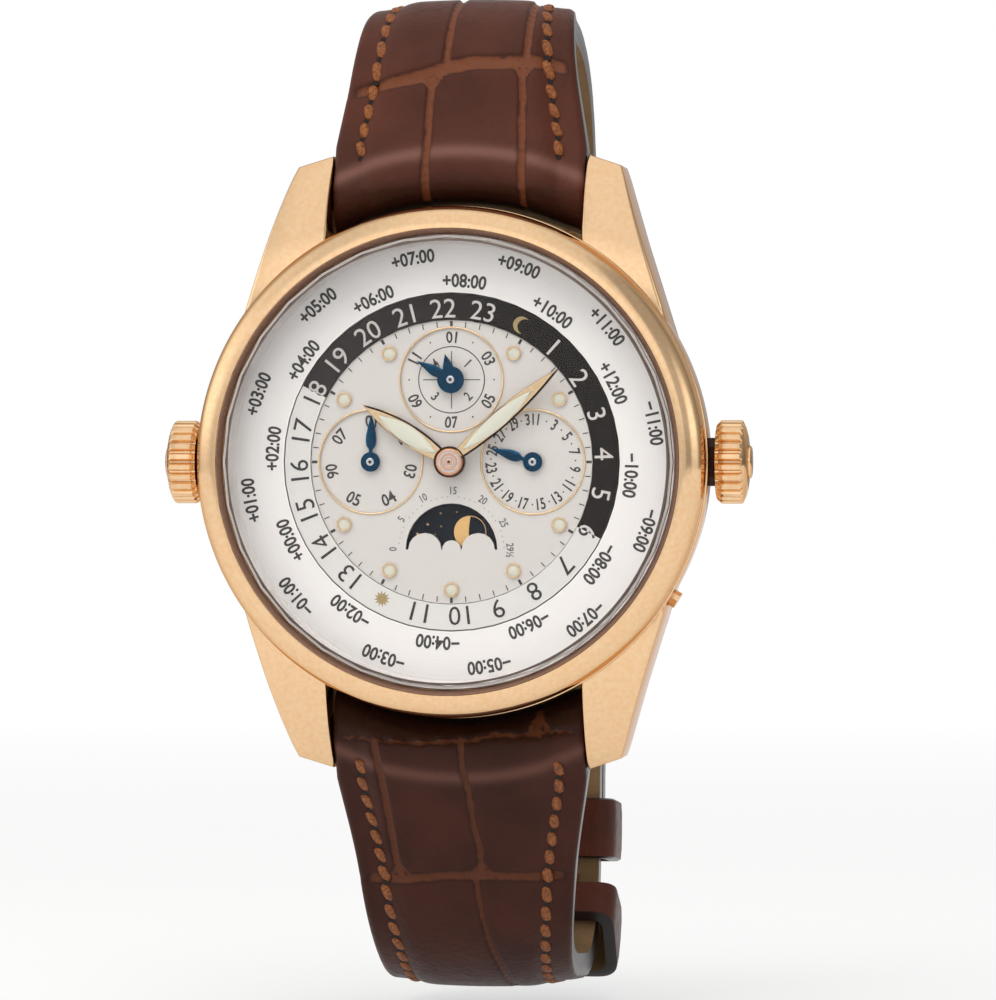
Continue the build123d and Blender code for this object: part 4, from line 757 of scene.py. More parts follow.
# hour dots: gold cups filled with luminous paint that sinks a little toward the rim
dotLook = {"radius": 0.6, "wall": 0.16, "foot": 8.8, "top": 9.05, "reach": 10.0, "lowReach": 10.2,
           "soft": 0.07, "fillDrop": 0.04, "fillBow": 0.05, "hours": (1, 2, 4, 5, 6, 7, 8, 10, 11)}
cupOutline = softened(box(dotLook["radius"] - dotLook["wall"], dotLook["radius"], dotLook["foot"],
                          dotLook["top"]), dotLook["soft"], 3)
fillRadius = np.linspace(0, dotLook["radius"] - dotLook["wall"] + 0.01, 5)
fillOutline = [(0, dotLook["foot"]), (fillRadius[-1], dotLook["foot"])] + [
    (radius, dotLook["top"] - dotLook["fillDrop"] - dotLook["fillBow"] * (radius / fillRadius[-1]) ** 2)
    for radius in fillRadius[::-1]]
cups, fills = [], []
for hour in dotLook["hours"]:
    reach = dotLook["lowReach"] if hour == 6 else dotLook["reach"]
    centre = (reach * math.sin(30 * hour * degree), reach * math.cos(30 * hour * degree))
    cups.append(lathe(cupOutline, 32, centre))
    fills.append(lathe(fillOutline, 28, centre))
addPiece("hourDotCups", joined(cups), handGold, "root", ["hour_markers"])
addPiece("hourDotLume", joined(fills), lumePaint, "root")

# moon disc: two gold moons and a scatter of stars (x, y, size) on dark lacquer
moonLook = {"top": 8.145, "offset": (1.42, 1.4), "radius": 1.3, "rise": 0.02, "rim": 0.05, "stars": [
    (-2.0, 2.0, 0.13), (-2.84, 1.25, 0.15), (-0.92, 1.85, 0.08), (-0.95, 2.9, 0.09), (0.35, 3.0, 0.08),
    (-1.4, 1.2, 0.07), (2.0, -2.0, 0.13), (2.9, -1.2, 0.14), (0.9, -1.9, 0.09), (-3.2, -0.6, 0.1),
    (3.1, 0.7, 0.09)]}


def moonShape(turn):
    # only the left half is gold, a painted reflection: the polished moon's right half, which mirrors dark,
    # is left to the dark lacquer; the gold is a left half circle whose other side bows out a little; a
    # thin rim closes the rest
    t = np.linspace(-math.pi / 2, math.pi / 2, 25)
    radius, inner = moonLook["radius"], moonLook["radius"] - moonLook["rim"]
    cos, sin = np.cos(t), np.sin(t)
    left = np.stack([-radius * cos, radius * sin], -1)
    right = np.stack([0.12 * radius * cos - 0.2 * radius * cos ** 2, radius * sin], -1)[::-1]
    rim = np.concatenate([np.stack([radius * cos, radius * sin], -1),
                          np.stack([inner * cos, inner * sin], -1)[::-1]])
    both = joined([prism(outline, 0, moonLook["rise"])
                   for outline in (np.concatenate([left, right[1:-1]]), rim)])
    return turnedBy(moved(both, *moonLook["offset"]), turn)


moonArt = [moonShape(0), moonShape(180)] + [
    moved(prism(starOutline(4, size, 0.4), 0, moonLook["rise"]), x, y) for x, y, size in moonLook["stars"]]
addPiece("moonDiscArt", moved(joined(moonArt), *dialLook["moon"], moonLook["top"]), moonGold, "moon")
print("dial furniture made")

# hands
handLook = {
    "hour": {"reach": 8.4, "belly": 4.5, "half": 0.82, "low": 9.5, "degrees": -57.0, "near": 1.3,
             "far": 6.9},
    "minute": {"reach": 11.6, "belly": 5.6, "half": 0.72, "low": 9.9, "degrees": 49.7, "near": 1.4,
               "far": 8.7},
    "hub": 1.25, "hubBore": 0.6, "hubRise": 0.1, "hubLip": 1.13, "hubFoot": 1.11,
    "thickness": 0.2, "rootHalf": 0.28, "bevel": 0.07, "border": 0.09, "inset": 0.13, "shift": 0.04,
    "lumeDepth": 0.12,
}


def arcWidth(along, near, belly, half, far, nearHalf=0.0):
    # half width of a blade whose edge is an arc through its near end, its belly and its far end
    centre, radius = circleThrough((nearHalf, near), (half, belly), (0, far))
    width = centre[0] + np.sqrt(np.maximum(radius ** 2 - (along - centre[1]) ** 2, 0))
    return np.where((along >= near) & (along <= far), np.maximum(width, 0), 0)


def bladeShape(look):
    # gold blade: sides, a bevel, a narrow rim, and a sunk field for the paint; the side that turns
    # from the light and the hub's flank are painted nearly black: painted shade and painted reflection
    h = handLook
    near, far = look["near"], look["far"]
    along = np.unique(np.concatenate([np.linspace(0, look["reach"], 70), [near, far]]))
    width = arcWidth(along, 0, look["belly"], look["half"], look["reach"], h["rootHalf"])
    field = arcWidth(along, near, look["belly"], look["half"] - h["inset"], far)
    low, top = look["low"], look["low"] + h["thickness"]
    bevel = np.minimum(h["bevel"], 0.7 * width)
    rim = np.minimum(width - bevel, np.maximum(field, 0.0))
    deep = np.where(field > 0, top - h["lumeDepth"], top)
    border = np.maximum(width - bevel - h["border"], rim)
    rightX = [width, width, width - bevel, border, rim, rim * 0.97]
    rightZ = [np.full_like(width, z) for z in (low, low + 0.06, top, top, top)] + [deep]
    x = np.stack(rightX + [-column for column in rightX[::-1]], -1)
    x[:, 4:8] -= h["shift"] * (field > 0.1)[:, None]
    x[:, 3] = np.maximum(x[:, 3], x[:, 4])
    blade = gridShape(x, along[:, None], np.stack(rightZ + rightZ[::-1], -1), 1)
    hub = lathe(softened([(h["hubBore"], low), (h["hub"], low), (h["hub"], top + h["hubRise"]),
                          (h["hubLip"], top + h["hubRise"]), (h["hubFoot"], top - h["hubRise"]),
                          (h["hubBore"], top - h["hubRise"])], 0.05, 5), 64)
    # painted shade: the blade's three right-hand columns of faces and the hub's flank take the nearly
    # black gold
    onBlade = np.arange(len(blade[1]) - 1) % 12 < 3
    onHub = np.isin(np.arange(len(hub[1])) % 30, range(5, 17))
    finish = np.concatenate([onBlade, [False], onHub]).astype(int)
    return turnedBy(joined([blade, hub]), look["degrees"]), finish


def lumeShape(look):
    # paint that fills the field and stands a little proud along its middle
    h = handLook
    near, far = look["near"], look["far"]
    along = np.linspace(near + 0.01, far - 0.01, 48)
    field = arcWidth(along, near, look["belly"], look["half"] - h["inset"], far) * 0.985
    shares = np.array([-1, -1, -0.75, -0.35, 0, 0.35, 0.75, 1, 1])
    heights = np.array([-h["lumeDepth"], -0.03, 0.0, 0.02, 0.025, 0.02, 0.0, -0.03, -h["lumeDepth"]])
    paint = gridShape(field[:, None] * shares - h["shift"], along[:, None],
                      look["low"] + h["thickness"] + heights)
    return turnedBy(paint, look["degrees"])


for body in ("hour", "minute"):
    look = handLook[body]
    bladeMesh, bladeFinish = bladeShape(look)
    addPiece(body + "HandBlade", bladeMesh, [handGold, paintedShadeChamfer], body,
             [body + "_hand"], bladeFinish, sharpDegrees=24)
    addPiece(body + "HandLume", lumeShape(look), lumePaint, body)

# the cap over the hands' centre, a dished ring with a groove, and its pin
capLook = {"outline": [(0.26, 9.98), (1.04, 9.98), (1.04, 10.33), (0.52, 10.36), (0.5, 10.3),
                       (0.46, 10.3), (0.44, 10.36), (0.34, 10.36), (0.26, 10.28)],
           "soft": [0, 0.02, 0.07, 0.01, 0.01, 0.01, 0.01, 0.02, 0.02],
           "pin": box(0, 0.24, 10.1, 10.4), "pinSoft": [0, 0.03, 0.06, 0], "pit": 0.11}
addPiece("centreCap", lathe(softened(capLook["outline"], capLook["soft"]), 72), turnedGold, "minute")
addPiece("centrePin", lathe(softened(capLook["pin"], capLook["pinSoft"]), 32), turnedGold, "minute")
# a dark disc on the pin's top: painted shade for its hole
addPiece("centrePinPitShade", joined(ringDots(0, capLook["pit"], [0], 10.4)), holeShadePaint, "minute")

smallLook = {
    "day": {"centre": dialLook["day"], "reach": 3.9, "hub": 0.78, "low": 8.98, "degrees": 1.3,
            "pinTop": 9.3},
    "date": {"centre": date, "reach": 3.64, "hub": 0.78, "low": 8.98, "degrees": -72.4, "pinTop": 9.3},
    "month": {"centre": month, "reach": 3.16, "hub": 0.78, "low": 8.98, "degrees": -61.6},
    "leap": {"centre": month, "reach": 2.1, "hub": 1.08, "low": 9.2, "degrees": -12.5, "pinTop": 9.52},
    "half": 0.35, "rootHalf": 0.15, "thickness": 0.15, "waistShare": 0.27, "leastHalf": 0.012,
    "bore": 0.2, "pin": 0.33, "pinSoft": [0, 0.05, 0.1, 0], "pit": 0.13,
}


def smallHandShape(look):
    # a spade: a thin neck, a full belly and a long fine point, all with a rounded top
    s = smallLook
    along = np.linspace(0, look["reach"], 48)
    share = np.clip((along / look["reach"] - s["waistShare"]) / (1 - s["waistShare"]), 0, 1)
    belly = s["half"] * np.sin(math.pi * share ** 0.62) * (1 - 0.3 * share)
    width = np.maximum(s["rootHalf"] * (1 - share) + belly, s["leastHalf"])[:, None]
    shares = np.array([-1, -0.95, -0.6, 0, 0.6, 0.95, 1])
    crown = np.maximum(s["thickness"] - 0.3 * width * shares ** 2, 0.03)
    z = look["low"] + np.where(np.abs(shares) == 1, 0, crown)
    high = look["low"] + s["thickness"] + 0.01
    hub = lathe(softened(box(s["bore"], look["hub"], look["low"], high), 0.06), 48)
    blade = gridShape(width * shares, along[:, None], z)
    return moved(turnedBy(joined([blade, hub]), look["degrees"]), *look["centre"])


for body in ("day", "date", "month", "leap"):
    look = smallLook[body]
    addPiece(body + "HandSpade", smallHandShape(look), bluedSteel, body,
             [body + "_hand"], sharpDegrees=30)
    if "pinTop" in look:
        pin = softened(box(0, smallLook["pin"], look["low"], look["pinTop"]), smallLook["pinSoft"])
        # a dark disc on the pin's top: painted shade for its hole
        pit = ringDots(0, smallLook["pit"], [0], look["pinTop"], look["centre"])
        addPiece(body + "HandPinPit", joined(pit), holeShadePaint, body)
        addPiece(body + "HandPin", lathe(pin, 28, look["centre"]), brightSteel, body)
print("hands made")

# strap: one closed loop line in the y-z plane, walked from the lower spring bar round the back to the
# upper one; the bends are (radius, degrees), and both halves are padded at the bars
strap = {
    "barY": 22.0, "barZ": 1.65, "lowerDegrees": 15.0, "upperDegrees": 8.0, "lowerRun": 12.0,
    "lowerBend": (11.6, 70.0), "floorRun": 5.0, "cornerRadius": 9.5, "cornerEnd": 8.0,
    "farLower": (120.0, 8.0), "farUpper": (100.0, 20.0), "topBackRadius": 12.0, "topDegrees": 4.0,
    "topBend": 6.5, "upperRun": 8.5,
    "lugHalf": 10.15, "endHalf": 8.1, "taper": 31.0, "lugThick": 4.7, "endThick": 2.5, "thin": 42.0,
    "buckleAt": 60.0, "layerGap": 0.2, "tailStart": 1.0, "tailRise": 13.0, "tailEnd": 40.5,
    "tipLength": 9.0, "crown": 0.4, "edgeUp": 0.75, "edgeDown": 1.0, "lugWiden": 0.45,
    "waist": (0.3, 22, 7), "widest": 10.18, "pad": 2.3, "padRun": 6.5, "padFrom": 0.5,
    "shoulder": (0.9, 3.2), "caseGap": 20.7, "rollFrom": 24.3, "rollDrop": 3.4, "start": 1.9,
    "slotHalf": 1.1, "slotBack": 1.7, "slotFront": 1.8, "buckleEnd": 1.6, "cutFade": 5.0,
    "rowStep": 0.2, "columns": 95, "stitchFrom": 1.9, "stitchBack": 1.7, "tipBlunt": 2.6,
    "liningEdge": 2.5, "edgeFade": (0.2, 1.2), "edgeRoll": (0.25, 0.5),
    # painted highlight along the roll's crest and painted shade below it; share, place from the roll's
    # crest and width, and how far from the bar it may reach
    "rubbed": (0.75, 0.2, 0.55, 8), "burnished": (0.8, 0.8, 2.6),
}


def legMove(heading, length, turn, share=1.0):
    # how far that share of a straight leg, or of an arc that turns by so much, carries the line
    if turn == 0:
        return length * share * math.cos(heading), length * share * math.sin(heading)
    radius = length / turn
    return (radius * (np.sin(heading + turn * share) - math.sin(heading)),
            radius * (math.cos(heading) - np.cos(heading + turn * share)))


def strapLegs():
    # every leg as (length, turn); the far run and the top run take the lengths that close the loop
    s = strap
    start = (180 + s["lowerDegrees"]) * degree

    def arc(radius, turnDegrees):
        return radius * turnDegrees * degree, turnDegrees * degree

    legs = [(s["lowerRun"], 0), arc(*s["lowerBend"]), (s["floorRun"], 0),
            arc(s["cornerRadius"], 180 - s["cornerEnd"] - s["lowerDegrees"] - s["lowerBend"][1]),
            arc(*s["farLower"]), None, arc(*s["farUpper"]),
            arc(s["topBackRadius"], 90 - s["topDegrees"] - s["farUpper"][1]), None,
            arc(s["topBend"], 90 + s["topDegrees"] - s["upperDegrees"]), (s["upperRun"], 0)]
    heading, y, z, free = start, -s["barY"], s["barZ"], []
    for leg in legs:
        if leg is None:
            free.append(heading)
            continue
        stepY, stepZ = legMove(heading, *leg)
        y, z, heading = y + stepY, z + stepZ, heading + leg[1]
    farRun, topRun = np.linalg.solve([np.cos(free), np.sin(free)], [s["barY"] - y, s["barZ"] - z])
    legs[5], legs[8] = (farRun, 0), (topRun, 0)
    return start, legs


loopStart, loopLegs = strapLegs()
loopLength = sum(leg[0] for leg in loopLegs)


def loopLine(along):
    # y, z and heading of the loop at each length from the lower bar; both ends run on straight
    along = np.asarray(along, float)
    y, z, heading = np.zeros((3, *along.shape))
    at, atY, atZ, atHeading = 0.0, -strap["barY"], strap["barZ"], loopStart
    for k, (length, turn) in enumerate(loopLegs):
        here = ((along >= at) | (k == 0)) & ((along < at + length) | (k == len(loopLegs) - 1))
        share = (along[here] - at) / length
        stepY, stepZ = legMove(atHeading, length, turn, share)
        y[here], z[here], heading[here] = atY + stepY, atZ + stepZ, atHeading + turn * share
        stepY, stepZ = legMove(atHeading, length, turn)
        at, atY, atZ, atHeading = at + length, atY + stepY, atZ + stepZ, atHeading + turn
    return y, z, heading


def onLoop(along, across, outward):
    # a place on the strap: along the loop, across it (x) and outward from the wrist
    y, z, heading = loopLine(along)
    return np.stack([across, y + outward * np.sin(heading), z - outward * np.cos(heading)], -1)


def strapHalf(fromBar):
    s = strap
    left = np.maximum(0, 1 - np.maximum(fromBar, 0) / s["taper"])
    depth, place, width = s["waist"]
    widen = s["lugWiden"] * (1 - smoothStep((fromBar - 2.0) / 10.0))
    widen = widen - depth * np.exp(-((fromBar - place) / width) ** 2)
    return np.minimum(s["endHalf"] + (s["lugHalf"] - s["endHalf"]) * left ** 2 + widen, s["widest"])


def strapThick(fromBar):
    left = np.maximum(0, 1 - np.maximum(fromBar, 0) / strap["thin"])
    return strap["endThick"] + (strap["lugThick"] - strap["endThick"]) * left ** 2


def tailOffset(along):
    share = (strap["buckleAt"] + strap["tailStart"] + strap["tailRise"] - along) / strap["tailRise"]
    return (strap["endThick"] + strap["layerGap"]) * smoothStep(share)


scaleLook = {"depth": 0.26, "rowHalf": 0.6, "columnHalf": 0.38, "fork": 0.75, "forkHalf": 0.22,
             "rowPitch": 7.6, "wander": 0.105, "wrinkle": 0.035, "seed": 11}


def scaleLines(seenRows, seenColumns, lengthToFill, seed, faintRows=()):
    # groove lines as (from bar, across) polylines: rows go right across, columns run between rows
    random = np.random.default_rng(seed)
    across = np.linspace(-11, 11, 12)
    rows = [np.interp(across, *np.transpose(row)) for row in seenRows]
    while rows[-1].mean() < lengthToFill:
        step = scaleLook["rowPitch"] * random.uniform(0.86, 1.08)
        rows.append(rows[-1].mean() + step + 0.45 * np.sin(across * 0.45 + len(rows) * 1.7))
    segments, halves = [], []
    for k, row in enumerate(rows[1:]):
        line = np.c_[row + random.normal(0, scaleLook["wander"], 12), across]
        segments += list(zip(line[:-1], line[1:]))
        halves += [scaleLook["rowHalf"] * (0.3 if k in faintRows else random.uniform(0.75, 1.1))] * 11
    for k in range(len(rows) - 1):
        columns = seenColumns[k] if k < len(seenColumns) else [
            (near, near + random.uniform(-0.5, 0.5)) for near in (
                random.uniform(-4.6, -3.2), random.uniform(0.2, 1.2), random.uniform(4.0, 5.4))]
        for near, far in columns:
            share = np.linspace(0, 1, 6)
            sideways = near + (far - near) * share + random.normal(0, 0.08, 6)
            low, high = np.interp(near, across, rows[k]), np.interp(far, across, rows[k + 1])
            line = np.c_[low + (high - low) * share, sideways]
            segments += list(zip(line[:-1], line[1:]))
            halves += [scaleLook["columnHalf"] * random.uniform(0.8, 1.15)] * 5
            # a column splits in two just before it meets its row
            for side in (-1, 1):
                segments.append((np.array([high - 0.3, far + scaleLook["fork"] * side]),
                                 np.array([high - 1.1, far + 0.05 * side])))
                halves.append(scaleLook["forkHalf"])
    return np.array(segments), np.array(halves)


def grooveDepth(fromBar, across, lines):
    # 1 on a groove line and 0 a groove's half width away, by the distance to each segment
    points = np.stack([fromBar, across], -1).reshape(-1, 2)
    depth = np.zeros(len(points))
    for (start, end), half in zip(*lines):
        line = end - start
        share = np.clip(((points - start) @ line) / (line @ line), 0, 1)
        away = np.hypot(*(points - start - share[:, None] * line).T)
        depth = np.maximum(depth, 1 - smoothStep((away / half - 0.45) / 0.55))
    return depth.reshape(fromBar.shape)


def fromAxis(fromBar, across):
    # distance from the watch's axis, to which both rolled ends are round
    return np.hypot(across, strap["barY"] + fromBar * math.cos(strap["upperDegrees"] * degree))


def strapFace(fromBar, across, half, thick):
    # height of the outer face before its pattern: thin edges, a padded middle and a crown; its end
    # rolls down to the case
    s = strap
    edgeUp = np.minimum(thick / 2, s["edgeUp"] + 0.25 * thick / 2)
    crown = s["crown"] * (1 - (across / half) ** 2)
    pad = s["pad"] * np.exp(-np.maximum(fromBar + s["padFrom"], 0) / s["padRun"])
    inRoll = np.clip((s["rollFrom"] - fromAxis(fromBar, across)) / (s["rollFrom"] - s["caseGap"]), 0, 1)
    roll = s["rollDrop"] * (1 - np.sqrt(1 - np.minimum(inRoll, 0.995) ** 2))
    inShoulder = smoothStep((half - np.abs(across) - s["shoulder"][0]) / s["shoulder"][1])
    return edgeUp + (thick / 2 - edgeUp) * inShoulder + crown + pad - roll


def strapShape(low, high, upper, segments):
    # a closed section carried along the loop: padded outer face, painted edges and flat lining
    s = strap
    slotFrom, slotTo = s["buckleAt"] - s["slotBack"], s["buckleAt"] + s["slotFront"]
    rows = np.unique(np.round(np.concatenate([
        np.arange(low, high, s["rowStep"]), [high, slotFrom, slotTo]]), 6))
    rows = rows[(rows >= low) & (rows <= high)]
    slotShare = s["slotHalf"] / s["endHalf"]
    shares = np.unique(np.concatenate([np.linspace(-1, 1, s["columns"]), [-slotShare, slotShare]]))
    along = np.broadcast_to(rows[:, None], (len(rows), len(shares))).copy()
    fromBar = loopLength - along if upper else along
    # the end by the case is cut to its round flank
    flank = np.sqrt(s["caseGap"] ** 2 - (shares * s["lugHalf"]) ** 2)
    endAt = (flank - s["barY"]) / math.cos((s["upperDegrees"] if upper else s["lowerDegrees"]) * degree)
    near = np.clip(1 - (fromBar + s["start"]) / s["cutFade"], 0, 1)
    fromBar = fromBar + near * (endAt + s["start"])[None, :]
    along = loopLength - fromBar if upper else fromBar
    half, thick = strapHalf(fromBar), strapThick(fromBar)
    across = half * shares[None, :]
    offset = tailOffset(along) if upper else 0
    if upper:
        # the tail narrows to a blunt round point
        tip = np.clip((along - low) / s["tipLength"], 0, 1)
        across = across * np.sqrt(np.clip(1 - (1 - tip) ** s["tipBlunt"], 0.02, 1))
    inFromEdge = half - np.abs(across)
    groove = grooveDepth(fromBar, across, segments)
    fadeFrom, fadeWidth = s["edgeFade"]
    fade = smoothStep((inFromEdge - fadeFrom) / fadeWidth)
    fromStitch = (inFromEdge - stitchLook["inset"]) / stitchLook["dipHalf"]
    stitchDip = stitchLook["sink"] * np.exp(-fromStitch ** 2)
    wrinkles = scaleLook["wrinkle"] * np.sin(fromBar * 9.0 + 3 * np.sin(across * 1.3)) * groove
    outer = strapFace(fromBar, across, half, thick) + wrinkles - stitchDip
    outer = outer - scaleLook["depth"] * groove * (0.25 + 0.75 * fade)
    rollDepth, rollWidth = s["edgeRoll"]
    outer = outer - rollDepth * np.clip(1 - inFromEdge / rollWidth, 0, 1) ** 2
    edgeDown = np.minimum(thick / 2, s["edgeDown"])
    inner = -edgeDown - (thick / 2 - edgeDown) * smoothStep(inFromEdge / s["liningEdge"])
    sides = [0, -1]
    edges = onLoop(along[:, sides], across[:, sides], ((outer + inner) * 0.5 + offset)[:, sides])
    ring = np.concatenate([onLoop(along, across, outer + offset), edges[:, 1:],
                           onLoop(along, across, inner + offset)[:, ::-1], edges[:, :1]], 1)
    count, columns, end = len(shares), ring.shape[1], len(rows) - 1
    marks = np.zeros((3, *ring.shape[:2]))
    reach = fromAxis(fromBar, across)
    marks[0, :, :count] = groove * fade
    # painted highlight along the crest of the rolled end, and painted shade from below it down to the case
    share, place, width, farthest = s["rubbed"]
    fromCrest = (reach - s["rollFrom"] - place) / width
    marks[1, :, :count] = share * np.exp(-fromCrest ** 2) * (fromBar < farthest)
    share, place, width = s["burnished"]
    marks[2, :, :count] = share * smoothStep((s["rollFrom"] - place - reach) / width)
    # the slot for the buckle's tongue goes right through both faces
    faces = np.array(gridFaces(len(rows), columns, False, True))
    column, row = faces[:, 0] % columns, faces[:, 0] // columns
    left, right = np.searchsorted(shares, [-slotShare - 1e-9, slotShare - 1e-9])
    isOpen = (rows[row] >= slotFrom - 1e-6) & (rows[row] < slotTo - 1e-6)
    isSlot = isOpen & (((column >= left) & (column < right))
                       | ((column >= 2 * count - right) & (column < 2 * count - left)))
    first, last = row[isSlot].min(), row[isSlot].max() + 1
    atLast = [last] if last < end else []
    walls = [(r, c, r + 1, c) for r in range(first, last) for c in (left, right)]
    walls += [(r, c, r, c + 1) for c in range(left, right) for r in [first] + atLast]
    kept = faces[~isSlot].tolist()
    finish = np.where(column < count - 1, 0, np.where((column > count) & (column < 2 * count), 2, 1))
    finish = finish[~isSlot].tolist()

    def wall(r, c, nextR, nextC):
        # from an outer point and the next one down to the two inner points under them
        return [r * columns + c, nextR * columns + nextC,
                nextR * columns + 2 * count - nextC, r * columns + 2 * count - c]

    kept += [wall(*place) for place in walls]
    for r in (0, end):
        kept += [wall(r, c, r, c + 1) for c in range(count - 1)
                 if not (r == last and left <= c < right)]
        kept += [[r * columns + corner for corner in cap]
                 for cap in ((count - 1, count, count + 1), (0, columns - 1, columns - 2))]
    finish += [1] * (len(kept) - len(finish))
    return (ring.reshape(-1, 3), kept), finish, dict(zip(("groove", "rubbed", "burnished"), marks))


stitchLook = {"inset": 2.2, "pitch": 1.6, "length": 1.5, "half": 0.46, "rise": 0.26, "slant": 0.2,
              "sink": 0.16, "dipHalf": 0.5, "holeAlong": 0.2, "holeAcross": 0.3, "holeTop": 0.07,
              "holeBottom": -0.2}

# rows and columns that the photograph shows, as (across, from the bar) and (near, far) places in
# millimetres; the rest go on in the same way
upperLines = scaleLines(
    [[(0, -3)], [(-11, 7.3), (-8, 7.9), (0, 9.5), (6, 9.8), (11, 9.2)], [(0, 21)]],
    [[(-2.6, -2.4), (5.3, 5.0)], [(-1.3, -0.6), (5.3, 5.4)]], 92.0, scaleLook["seed"])
lowerLines = scaleLines(
    [[(0, -3)], [(-11, -0.6), (0, -0.4), (11, -1.6)], [(-11, 12.2), (0, 11.4), (11, 11.8)], [(0, 26.5)]],
    [[(6.4, 6.6)], [(-6.8, -5.3), (0.3, 1.4)], [(0.9, 3.1)]], 62.0, scaleLook["seed"] + 1, [0])
for name, node, skin, span in (
        ("strapLong", "strap_upper", alligator,
         (strap["tailEnd"], loopLength + strap["start"], True, upperLines)),
        ("strapShort", "strap_lower", alligatorPaintedShade,
         (-strap["start"], strap["buckleAt"] + strap["buckleEnd"], False, lowerLines))):
    shape, finish, marks = strapShape(*span)
    addPiece(name, shape, [skin, edgePaint, tanLining], "root", [node], finish, marks, 60)
print("strap made")


def stitchFace(along, upper, side):
    # place across, outer face's height, half thickness and tail offset along a stitch line
    fromBar = loopLength - along if upper else along
    half, thick = strapHalf(fromBar), strapThick(fromBar)
    across = side * (half - stitchLook["inset"])
    face = strapFace(fromBar, across, half, thick) - stitchLook["sink"]
    return across, face, thick / 2, tailOffset(along) if upper else 0


def stitchRow(low, high, upper, side, outside):
    # thread bumps: each a small tapered pillow that leans a little across its line
    k = stitchLook
    lengthways, turn = np.meshgrid(np.linspace(-1, 1, 7), np.linspace(0, 1, 8, endpoint=False) * fullTurn,
                                   indexing="ij")
    swell = np.sqrt(np.clip(1 - np.abs(lengthways) ** 2.6, 0, 1))
    along = np.arange(low, high, k["pitch"])[:, None, None] + lengthways * k["length"] / 2
    across, face, halfThick, offset = stitchFace(along, upper, side)
    across = across + swell * k["half"] * np.cos(turn) + k["slant"] * lengthways
    height = (face if outside else -halfThick) + offset + swell * k["rise"] * np.sin(turn)
    faces = gridFaces(7, 8, False, True) + [list(range(8)), list(range(48, 56))]
    return joined([(bump, faces) for bump in onLoop(along, across, height)])


def holeRow(low, high, upper, side):
    # the needle holes between the stitches: small dark plugs, painted shade for the dents
    k = stitchLook
    angle = np.arange(8) * fullTurn / 8
    shapes = []
    for at in np.arange(low, high, k["pitch"]) + k["pitch"] / 2:
        across, face, halfThick, offset = stitchFace(np.array([at]), upper, side)
        outline = np.c_[at + k["holeAlong"] * np.cos(angle), across + k["holeAcross"] * np.sin(angle)]
        height = (face + offset)[0]
        points, faces = prism(outline, height + k["holeTop"], height + k["holeBottom"])
        shapes.append((onLoop(*points.T), faces))
    return joined(shapes)


stitched = [(strap["stitchFrom"], strap["buckleAt"] - 4.0, False),
            (strap["tailEnd"] + 8.0, loopLength - strap["stitchBack"], True)]
threads = [stitchRow(*span, side, outside) for span in stitched for side in (1, -1)
           for outside in (True, False)]
addPiece("strapStitches", joined(threads), linenThread, "root", sharpDegrees=80)
holes = [holeRow(*span, side) for span in stitched for side in (1, -1)]
addPiece("strapNeedleHoleShade", joined(holes), holeShadePaint, "root")
print("stitching made")

# keepers: the fixed one stands square to the loop, the free one bends with its corner
keeperLook = {"fixedAt": 48.2, "fixedLength": 5.2, "fixedGap": 0.3, "freeFrom": 43.0, "freeTo": 70.0,
              "freeGap": 0.5, "wall": 1.2, "innerSoft": 0.9, "outerSoft": 1.9,
              "band": [-1, -0.94, -0.6, 0, 0.6, 0.94, 1, 1, 0.6, 0, -0.6, -1],
              "inWall": [0.72, 0.93, 0.99, 1, 0.99, 0.93, 0.72, 0.12, 0, 0, 0, 0.12],
              "finish": [1, 0, 0, 0, 0, 1, 1, 2, 2, 2, 2, 1]}


def keeperShape(centreAlong, halfLength, gap, bent):
    # a leather band in a box with round corners: outer face slightly domed, both edges rounded
    k = keeperLook
    half, high = strap["endHalf"] + gap, strap["endThick"] + 1.5 * strap["layerGap"]
    lift = (strap["endThick"] + strap["layerGap"]) / 2
    inside = softened(box(half, -half, high, -high), k["innerSoft"], 8)
    half, high = half + k["wall"], high + k["wall"]
    outside = softened(box(half, -half, high, -high), k["outerSoft"], 8)
    ring = inside[:, None] + (outside - inside)[:, None] * np.array(k["inWall"])[:, None]
    onward = np.broadcast_to(np.array(k["band"]) * halfLength, ring.shape[:2])
    across, outward = ring[..., 0], ring[..., 1] + lift
    points = onLoop(centreAlong + onward * bent, across, outward)
    if not bent:
        heading = loopLine(np.array([centreAlong]))[2]
        points = points + np.stack([0 * onward, onward * np.cos(heading), onward * np.sin(heading)], -1)
    faces = gridFaces(len(inside), len(k["band"]), True, True)
    return (points.reshape(-1, 3), faces), np.tile(k["finish"], len(inside))


cornerFrom = strap["lowerRun"] + loopLegs[1][0] + strap["floorRun"]
perDegree = strap["cornerRadius"] * degree
freeFrom, freeTo = keeperLook["freeFrom"] * perDegree, keeperLook["freeTo"] * perDegree
for name, node, body, span in (
        ("keeperFixed", "fixed_keeper", "root",
         (keeperLook["fixedAt"], keeperLook["fixedLength"] / 2, keeperLook["fixedGap"], False)),
        ("keeperFree", "free_keeper", "keeper",
         (cornerFrom + (freeFrom + freeTo) / 2, (freeTo - freeFrom) / 2, keeperLook["freeGap"], True))):
    shape, finish = keeperShape(*span)
    addPiece(name, shape, [alligator, edgePaint, tanLining], body, [node], finish,
             sharpDegrees=50)
print("keepers made")

